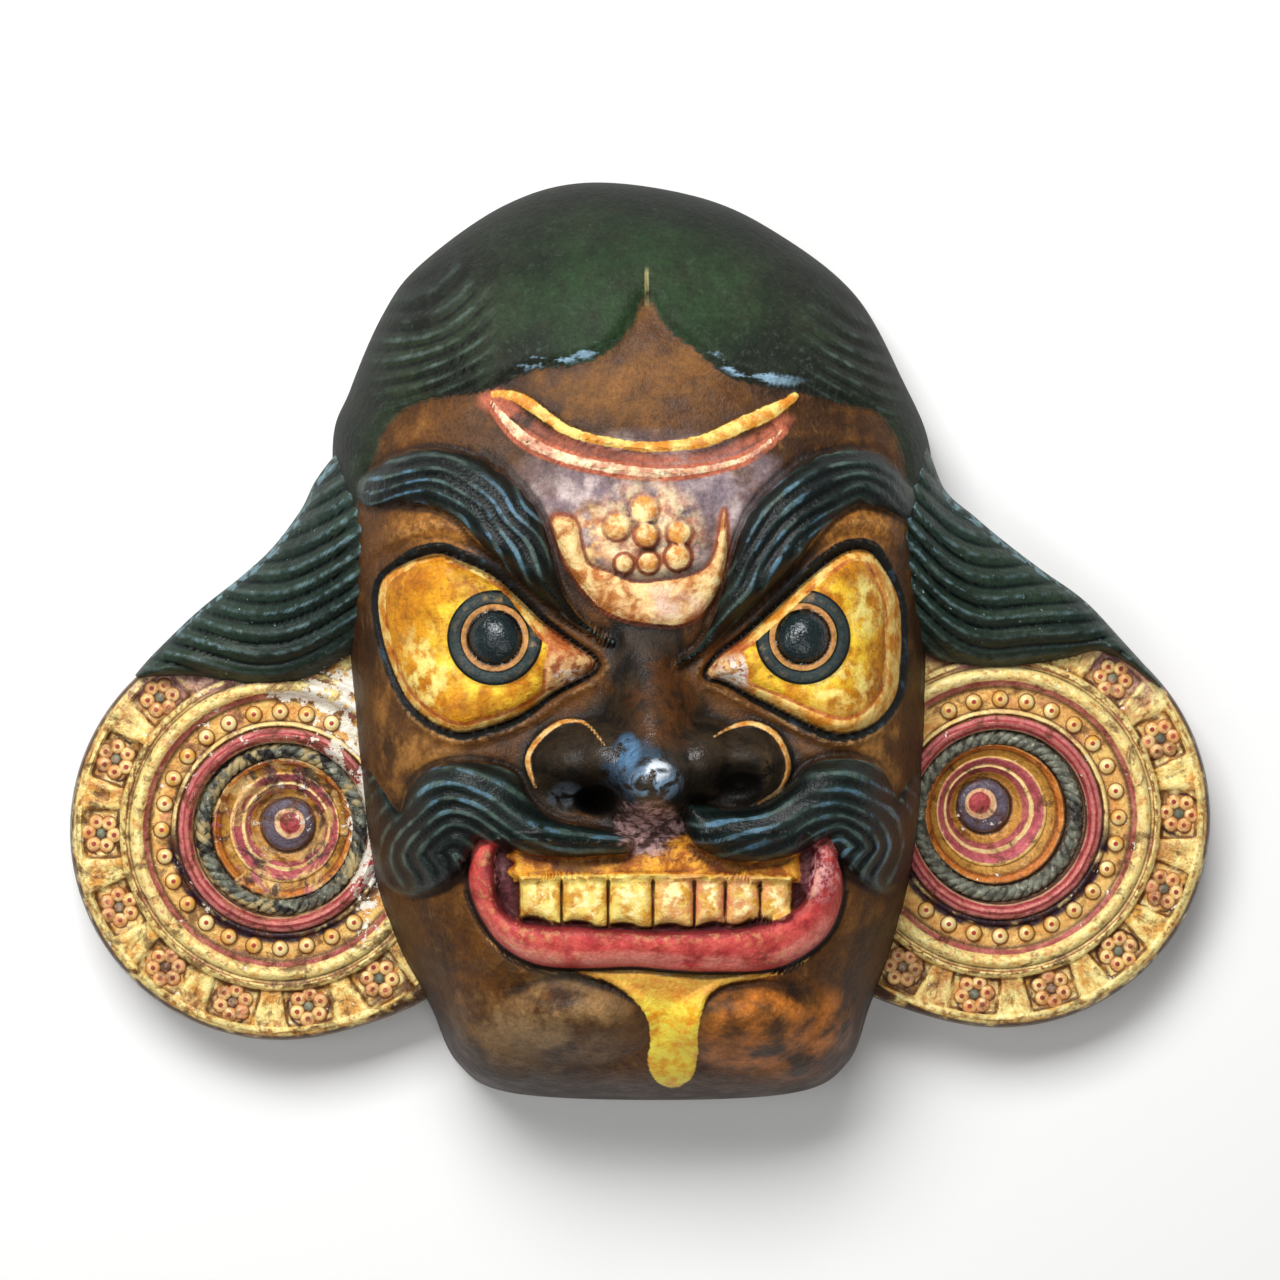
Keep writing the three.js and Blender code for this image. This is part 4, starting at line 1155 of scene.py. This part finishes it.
def paintFace(material):
    # old distemper under lacquer, brushed on by hand: dark paint keeps a soft gloss, wear and dirt break
    # the gloss up, and the pupils and the tip of the nose shine
    b = Brush(material)
    middling, fine = b.grain(12, 4), b.grain(3.0, 4, 0.6)
    colour = skinColour(b, fine, middling)
    colour = nosePaint(b, colour, fine, middling)
    colour = crestPaint(b, colour, fine, middling)
    colour = mouthPaint(b, colour, fine, middling)
    colour, pupil = eyePaint(b, colour, fine, middling)
    # brows and moustache: green-black, with painted shade in the grooves between strands and painted blue
    # highlights on the strands in patches
    dark = b.patchy("#0c1514", "#1a2824", 20, 0.35, 0.65, 2)
    browHighlightSpots = ((-58, 44, 22, 26), (56, 38, 24, 34), (-96, 62, 20, 14))
    tacheHighlightSpots = ((-30, -76, 24, 10), (34, -76, 24, 10), (-80, -58, 26, 14), (90, -74, 26, 26))
    for name, phase, spots in (("brow", "browPhase", browHighlightSpots), ("tache", "tachePhase", tacheHighlightSpots)):
        wave = add(b.tree, "ShaderNodeMath", {0: phase}, operation="COSINE").outputs[0]
        paintedHighlight = b.fade(b.pushed(wave, b.grain(8, 4), 2.0), 1.35, 2.1)
        # painted shade: darker in the grooves between the strands
        tone = b.layer(dark, "#050807", b.fade(wave, 0.1, -0.8), 0.7)
        # painted highlights: grey-green and blue on the strand crests
        tone = b.layer(tone, "#56695f", paintedHighlight, b.patches(22, 0.38, 0.58), 0.7)
        for x, y, wide, tall in spots:
            patch = b.both(b.spot(x, y, wide, tall, 0.6), b.patches(10, 0.45, 0.6, 4, 0.6))
            tone = b.layer(tone, "#567c94", paintedHighlight, patch, 0.85)
        colour = b.layer(colour, tone, b.within(name, 0.3, 0.5))
    hairMask = b.within("hair", 0.3, 0.25, 4)
    waved = b.either(b.spot(-86, 122, 30, 42, 0.5), b.spot(86, 118, 26, 38, 0.6))
    hairTone, strand = hairColour(b, "hairLevel", head["hairStrand"], waved)
    green = b.both(b.spot(-4, 138, 66, 46), b.patches(24, 0.25, 0.6))
    hairTone = b.layer(hairTone, "#24401f", green, 0.6)
    hairTone = b.layer(hairTone, "#25261a", b.patches(7, 0.48, 0.66, 6, 0.75, stretch=(1, 0.5, 1)), 0.6)
    # painted highlight: blue-white strokes just above the hairline
    edge = b.both(b.band("hair", 1.0, 5.0, 1.0), b.patches(5, 0.5, 0.6, 4, 0.6, stretch=(0.35, 1, 1)))
    reach = b.either(b.spot(-30, 112, 26, 16), b.spot(42, 108, 26, 14), b.spot(28, 131, 16, 8))
    hairTone = b.layer(hairTone, "#8fb0c4", edge, reach)
    colour = b.layer(colour, hairTone, hairMask)
    crack = b.both(b.band("planX", -0.3, 1.3, 0.3), b.band("planY", 134, 148, 2))
    colour = b.layer(colour, "#a59a6a", crack, 0.8)
    # painted shade darkens the sides low towards the back, the hollows are darker with grime and painted
    # shade, and crests are lighter where rubbed and where a painted highlight lies
    # painted shade: darker low on the sides, where they fall back towards the flat back
    low = b.both(b.fade("planZ", 78, 40), 0.7, b.fade("goatee", 0.5, -0.5, 0.3, 1))
    colour = b.layer(colour, b.layer("#2a190b", "#0b0e09", hairMask), low)
    # darker in the hollows, partly grime and partly painted shade; in the mouth the painted shade is
    # red-brown
    grimeAndShade = b.layer("#120b07", "#3c1512", b.fade("mouth", -1, 1))
    colour = b.layer(colour, grimeAndShade, b.fade("crest", -0.15, -1.2), 0.75)
    worn = b.pushed(b.grain(9, 5, 0.7, stretch=(0.6, 1, 1)), b.spot(1, -75, 20, 17), 0.5)
    smear = b.patchy("#4e3430", "#b08e8a", 3.5, 0.4, 0.6, 4, 0.6)
    colour = b.layer(colour, smear, b.fade(worn, 0.7, 0.95))
    painted = b.either(b.within("brow"), b.within("tache"))
    plain = add(b.tree, "ShaderNodeMath", {0: 1.0, 1: b.either(painted, hairMask, pupil)},
                operation="SUBTRACT").outputs[0]
    # crests turned to the front are lighter: rubbed paint and a painted highlight
    rubAndHighlight = b.both(b.fade("crest", 0.2, 1.4), b.fade(fine, 0.45, 0.62), plain)
    rubAndHighlight = b.both(rubAndHighlight, b.upward(), b.fade(b.spot(2, -52, 60, 40), 0.5, 0.1))
    colour = b.layer(colour, "#d3a468", rubAndHighlight, 0.45)
    pits = b.both(b.patches(1.6, 0.7, 0.78, 2), plain)
    colour = b.layer(colour, "#1a0f08", pits, 0.5)
    colour = b.mottle(b.mottle(colour, 7, 0.35), 1.6, 0.4)
    roughness = b.layer(0.48, 0.64, b.fade(middling, 0.3, 0.7))
    roughness = b.layer(roughness, 0.72, hairMask)
    roughness = b.layer(roughness, 0.4, painted)
    roughness = b.layer(roughness, 0.28, b.spot(2, -52, 34, 26), 0.8)
    roughness = b.layer(roughness, 0.12, pupil)
    glossy = b.either(pupil, b.both(b.spot(2, -52, 34, 26), 0.6))
    combed = b.both(strand, hairMask, waved)
    b.finish(colour, roughness, coat=b.pushed(0.03, glossy, 0.6),
             bumps=((fine, 0.0006), (b.grain(0.9, 2), 0.0002), (combed, 0.0003)), **{"Coat Roughness": 0.15})


# painted rings of the disc: inner and outer radius, tone, and how well it covers
discRings = [
    (80.2, 81.4, "#8a4e26", 0.7), (61.4, 63.2, "#7a3c20", 0.85), (59.4, 61.2, "#f2d68a", 0.9),
    (54.8, 58.6, "#e3b878", 0.6), (52.8, 54.9, "#b0565c", 0.85), (43.4, 52.6, "#e0aa5c", 0.7),
    # the dark ring from 40.6 to 41.9 is painted shade just outside the raised red ring
    (41.9, 43.4, "#f2d68e", 1.0), (40.6, 41.9, "#3c1c18", 0.8), (35.3, 40.8, "#aa4348", 1.0),
    (36.8, 38.2, "#d98a7c", 0.7), (39.2, 40.5, "#d98a86", 0.8), (34.2, 35.5, "#e6b090", 0.9),
    (28.0, 34.3, "#26231f", 0.95), (27.5, 28.3, "#4a2c18", 0.9), (24.6, 27.6, "#c4702a", 0.95),
    (22.0, 24.8, "#eeb04e", 0.95), (21.0, 22.2, "#f0cd7e", 0.8), (17.6, 21.2, "#b4505e", 0.95),
    (16.4, 17.8, "#f5dc98", 1.0), (14.2, 16.5, "#b4505e", 0.9), (11.4, 14.4, "#dc9a44", 0.95),
    (10.2, 11.5, "#2c160e", 0.95), (6.1, 10.3, "#5f5560", 1.0), (4.3, 6.2, "#e6b98c", 1.0),
    (-1.0, 4.4, "#b0484a", 1.0),
]


def paintDisc(material):
    # thin gilding over gesso, with painted rings: a warm half gloss, rubbed dull in patches, and white gesso
    # showing where the gold has chipped; painted shade lies in the hollows, round the flowers and by the
    # pearls, with painted glints on crests and a painted lilac reflection high on the rim
    b = Brush(material)
    broad, middling, fine = b.grain(30), b.grain(9, 4), b.grain(2.6, 4, 0.6)
    leftSide = b.fade("planX", 10, -10)
    shaken = b.pushed("discRadius", middling, 1.8, 0.5)
    colour = b.patchy("#dca045", "#f8e08c", 6, 0.36, 0.62, 4)
    colour = b.layer(colour, "#a05a26", b.fade(fine, 0.52, 0.66), 0.6)
    colour = b.layer(colour, "#b97a44", b.patches(14, 0.48, 0.62, 5, 0.65), 0.7)
    sunk = b.patchy("#d9973f", "#fae29a", 5, 0.35, 0.62)
    colour = b.layer(colour, sunk, "panel", b.fade(middling, 0.25, 0.5))
    outlines = b.both(b.band("panel", 0.3, 0.92, 0.08), b.patches(7, 0.38, 0.56, 4))
    colour = b.layer(colour, "#5c3016", outlines, 0.8)
    bloom = b.pushed("bloom", b.grain(3.5), 3.0, 0.5)
    colour = b.layer(colour, "#b0683c", b.fade(bloom, 8.0, 7.0), 0.5)
    # painted shade: a dark ring round the foot of each flower, in patches
    dark = b.both(b.band(bloom, 7.6, 9.2, 0.6), b.patches(9, 0.45, 0.6))
    colour = b.layer(colour, "#3f2012", dark)
    for low, high, tone, amount in discRings:
        colour = b.layer(colour, tone, b.band(shaken, low, high, 0.3), amount)
    # painted reflection: lilac on the upper part of the outer rim
    lilacReflection = b.both(b.fade("planY", -34, -14), b.fade(broad, 0.35, 0.6))
    colour = b.layer(colour, "#a87a88", lilacReflection, b.fade("discRadius", 58, 62), 0.75)
    reds = b.both(b.patches(12, 0.56, 0.66, 4, 0.6), b.band("discRadius", 42, 63, 2))
    colour = b.layer(colour, "#a84848", reds, 0.55)
    glint = b.both(b.band("crest", 0.35, 3, 0.3), b.fade("discRadius", 42, 46))
    colour = b.layer(colour, "#fbe596", glint, b.fade(fine, 0.35, 0.6))
    shadow = b.both(b.fade("crest", -0.12, -0.8), b.fade("discRadius", 16, 36, 0.35, 0.85))
    shadow = b.both(shadow, b.fade("panel", 0.4, 1, 1, 0.25))
    colour = b.layer(colour, "#43200f", shadow)
    # painted shadow: dark by the pearls on the lower part of the disc
    low = b.both(b.band(shaken, 41, 45.5, 1.0), b.patches(11, 0.34, 0.5))
    colour = b.layer(colour, "#2a1420", low, b.fade("planY", -66, -84))
    darkPatches = b.fade(b.pushed(b.grain(8, 5, 0.65, twist=0.5), leftSide, 0.04), 0.53, 0.66)
    colour = b.layer(colour, "#5a3218", darkPatches, 0.75)
    smudge = b.both(b.band("discRadius", 13, 35, 3), leftSide)
    for size, tone, most in ((14, "#d6b072", 0.5), (12, "#3a3236", 0.54), (9, "#a65a64", 0.56)):
        patch = b.patches(size, most, most + 0.09, 4, 0.6, twist=1.2)
        colour = b.layer(colour, tone, patch, smudge, 0.85)
    near = b.either(b.spot(-119, -32, 20, 32), b.spot(-112, -80, 9, 60), b.spot(-132, -22, 28, 9))
    near = b.either(near, b.both(b.spot(-150, -50, 70, 50), 0.2))
    chips = b.fade(b.pushed(b.grain(5.0, 5, 0.7), near, 0.2), 0.655, 0.68)
    colour = b.layer(colour, b.layer("#d8cdb6", "#f6f1e4", fine), chips)
    colour = b.layer(colour, "#4a2c14", b.fade("discRadius", 82.0, 83.0), b.fade(middling, 0.3, 0.5))
    edgeTone = b.patchy("#4c3119", "#7c5829", 18, 0.3, 0.7, 4)
    colour = b.layer(colour, edgeTone, b.fade(b.upward(), 0.5, 0.0), b.fade("discRadius", 79, 81))
    colour = b.mottle(b.mottle(colour, 6, 0.4), 1.6, 0.35)
    roughness = b.layer(0.3, 0.5, b.fade(middling, 0.3, 0.7))
    b.finish(colour, roughness, metallic=0.1, coat=0.1, bumps=((fine, 0.0008), (b.grain(0.8, 2), 0.0002)),
             **{"Coat Roughness": 0.25})


def paintHair(material):
    # green-black paint brushed along deep waves: painted shade in the grooves, grey-blue on the crests where
    # it is rubbed and where a painted highlight lies
    b = Brush(material)
    colour, strand = hairColour(b, "lockLevel", lock["pitch"], 1.0)
    colour = b.layer(colour, "#1d342e", b.grain(22), 0.8)
    # painted shade: darker in the hollows between the waves
    colour = b.layer(colour, "#050807", b.fade("crest", -0.1, -1.0), 0.85)
    # painted highlight on the crests turned to the front, with rubbed paint
    rubAndHighlight = b.both(b.fade("crest", 0.2, 1.1), b.patches(4, 0.42, 0.6, 4))
    colour = b.layer(colour, "#7798a0", rubAndHighlight, b.upward(), 0.7)
    colour = b.mottle(b.layer(colour, "#9fb2b0", b.patches(2.2, 0.7, 0.76)), 3, 0.45)
    b.finish(colour, b.layer(0.4, 0.6, b.grain(10)), coat=0.04,
             bumps=((b.grain(3, 4, 0.6), 0.0005), (b.grain(2.2, stretch=(0.3, 1, 1)), 0.0003)),
             **{"Coat Roughness": 0.2})


def bareWood(material):
    # softwood cut with a gouge and left bare: dull, with long grain, darker where hands and sweat reached
    b = Brush(material)
    grain = b.grain(5, 5, 0.6, stretch=(1, 0.07, 1), twist=0.6)
    broad = b.grain(60)
    colour = b.layer("#6e4c2c", "#9a744a", b.fade(grain, 0.35, 0.7))
    colour = b.layer(colour, "#4b321e", b.fade(broad, 0.45, 0.7), 0.55)
    # painted shade: darker in the hollows of the gouge cuts
    colour = b.layer(colour, "#2e1e12", b.fade("crest", -0.1, -1.0), 0.6)
    b.finish(colour, b.layer(0.62, 0.8, grain), coat=0.0, bumps=((grain, 0.0006), (b.grain(1.5), 0.0003)))


def paintFlower(material):
    # gilding rubbed thin, so it looks like warm paint, with a red dot on each petal and a grey-green heart
    b = Brush(material)
    colour = b.patchy("#d99c5c", "#f4cf84", 9, 0.38, 0.62, 4)
    colour = b.layer(colour, "#fbe6ac", b.patches(2.4, 0.48, 0.66), 0.7)
    colour = b.layer(colour, "#a45f3c", b.patches(3, 0.55, 0.66), 0.7)
    colour = b.layer(colour, "#94582f", b.fade("dot", 2.2, 3.4))
    colour = b.layer(colour, "#93392a", b.band("dot", -1, 1.0, 0.25))
    colour = b.layer(colour, b.layer("#3e4436", "#8d8c76", b.grain(4, 2)), b.fade("dot", 9, 9.5))
    dull = b.patches(17, 0.46, 0.6, 4, 0.62)
    colour = b.layer(colour, b.patchy("#7a3d2a", "#d68f68", 3, 0.4, 0.62, 4), dull, 0.6)
    colour = b.mottle(colour, 3, 0.6)
    b.finish(colour, 0.5, coat=0.15, bumps=((b.grain(1.2), 0.0002),), **{"Coat Roughness": 0.25})


def paintPearl(material):
    # pale burnished gilding, the glossiest part of the disc, with a red dot on top of each pearl
    b = Brush(material)
    colour = b.patchy("#e2a94e", "#fbe7a4", 6, 0.35, 0.65, 4)
    colour = b.layer(colour, "#7c4220", b.fade("dot", 2.5, 3.5))
    colour = b.layer(colour, "#a33a2e", b.band("dot", -1, 0.95, 0.2))
    b.finish(colour, 0.4, metallic=0.1, coat=0.3, bumps=((b.grain(1.0), 0.0002),),
             **{"Coat Roughness": 0.2})


def paintRope(material):
    # matt grey-green distemper, rubbed pale along the strands and dirty between them
    b = Brush(material)
    colour = b.patchy("#45453c", "#7f8272", 4, 0.35, 0.65, 4)
    colour = b.layer(colour, "#2c2a28", b.patches(9, 0.55, 0.7, 4))
    colour = b.layer(colour, "#b9b79c", b.patches(2.2, 0.55, 0.7), 0.7)
    left = b.fade("planX", 10, -10)
    for size, tone in ((16, "#b09c6c"), (12, "#262422")):
        patch = b.patches(size, 0.5, 0.6, 4, 0.6, twist=0.9)
        colour = b.layer(colour, tone, patch, left)
    b.finish(colour, 0.5, coat=0.1, bumps=((b.grain(0.9), 0.0003),))


paintFace(skins[0])
paintDisc(skins[1])
paintHair(skins[2])
bareWood(skins[3])
print("stage: paints")
for make, paint, name in ((flowers, paintFlower, "rubbedGilding"), (pearls, paintPearl, "burnishedGilding"),
                          (ropes, paintRope, "greyGreenDistemper")):
    skin = bpy.data.materials.new(name)
    paint(skin)
    make(skin)
print("stage: ornaments")

studio = {
    "floor": "#f3f3f1", "reach": 4, "gap": 0.0005, "sky": "#f5f6f8", "glow": 0.14,
    "height": 1.1, "view": 0.512, "film": 36, "aside": -0.002,
    # name, place, size, power and tint of each soft light
    "lights": [
        ("keyLight", (-0.35, 1.0, 1.45), (1.1, 0.7), 38, (0.99, 0.99, 1.0)),
        ("fillLight", (0.4, -0.9, 1.5), (0.7, 0.7), 5, (1, 1, 1)),
        ("sideLight", (-0.8, -0.1, 1.5), (0.7, 0.7), 4, (1, 1, 1)),
    ],
}
floorMesh = bpy.data.meshes.new("floor")
corners = [(x * studio["reach"], y * studio["reach"], 0) for x, y in ((-1, -1), (1, -1), (1, 1), (-1, 1))]
floorMesh.from_pydata(corners, [], [(0, 1, 2, 3)])
floor = bpy.data.objects.new("floor", floorMesh)
floor.location.z = maskLow[2] - studio["gap"]
bpy.context.scene.collection.objects.link(floor)
# matt painted board: no gloss, so it takes only a soft shadow
floorPaint = bpy.data.materials.new("mattPaintedBoard")
Brush(floorPaint).finish(studio["floor"], 0.9, coat=0.0)
floorMesh.materials.append(floorPaint)


def softLight(name, place, size, power, tint):
    lamp = bpy.data.lights.new(name, "AREA")
    lamp.shape, lamp.size, lamp.size_y, lamp.energy, lamp.color = "RECTANGLE", size[0], size[1], power, tint
    holder = bpy.data.objects.new(name, lamp)
    holder.location = place
    holder.rotation_euler = (Vector((0, 0, 0)) - Vector(place)).to_track_quat("-Z", "Y").to_euler()
    bpy.context.scene.collection.objects.link(holder)


for light in studio["lights"]:
    softLight(*light)
world = bpy.data.worlds.new("paleRoom")
world.use_nodes = True
sky = world.node_tree.nodes["Background"]
sky.inputs[0].default_value = shade(studio["sky"])
sky.inputs[1].default_value = studio["glow"]
bpy.context.scene.world = world
bpy.context.scene.view_settings.view_transform = "Standard"

camera = bpy.data.cameras.new("camera")
camera.sensor_width = studio["film"]
camera.lens = studio["film"] * studio["height"] / studio["view"]
viewer = bpy.data.objects.new("camera", camera)
viewer.location = (studio["aside"] + shift[0], shift[1], studio["height"])
bpy.context.scene.collection.objects.link(viewer)
bpy.context.scene.camera = viewer
print("stage: studio")
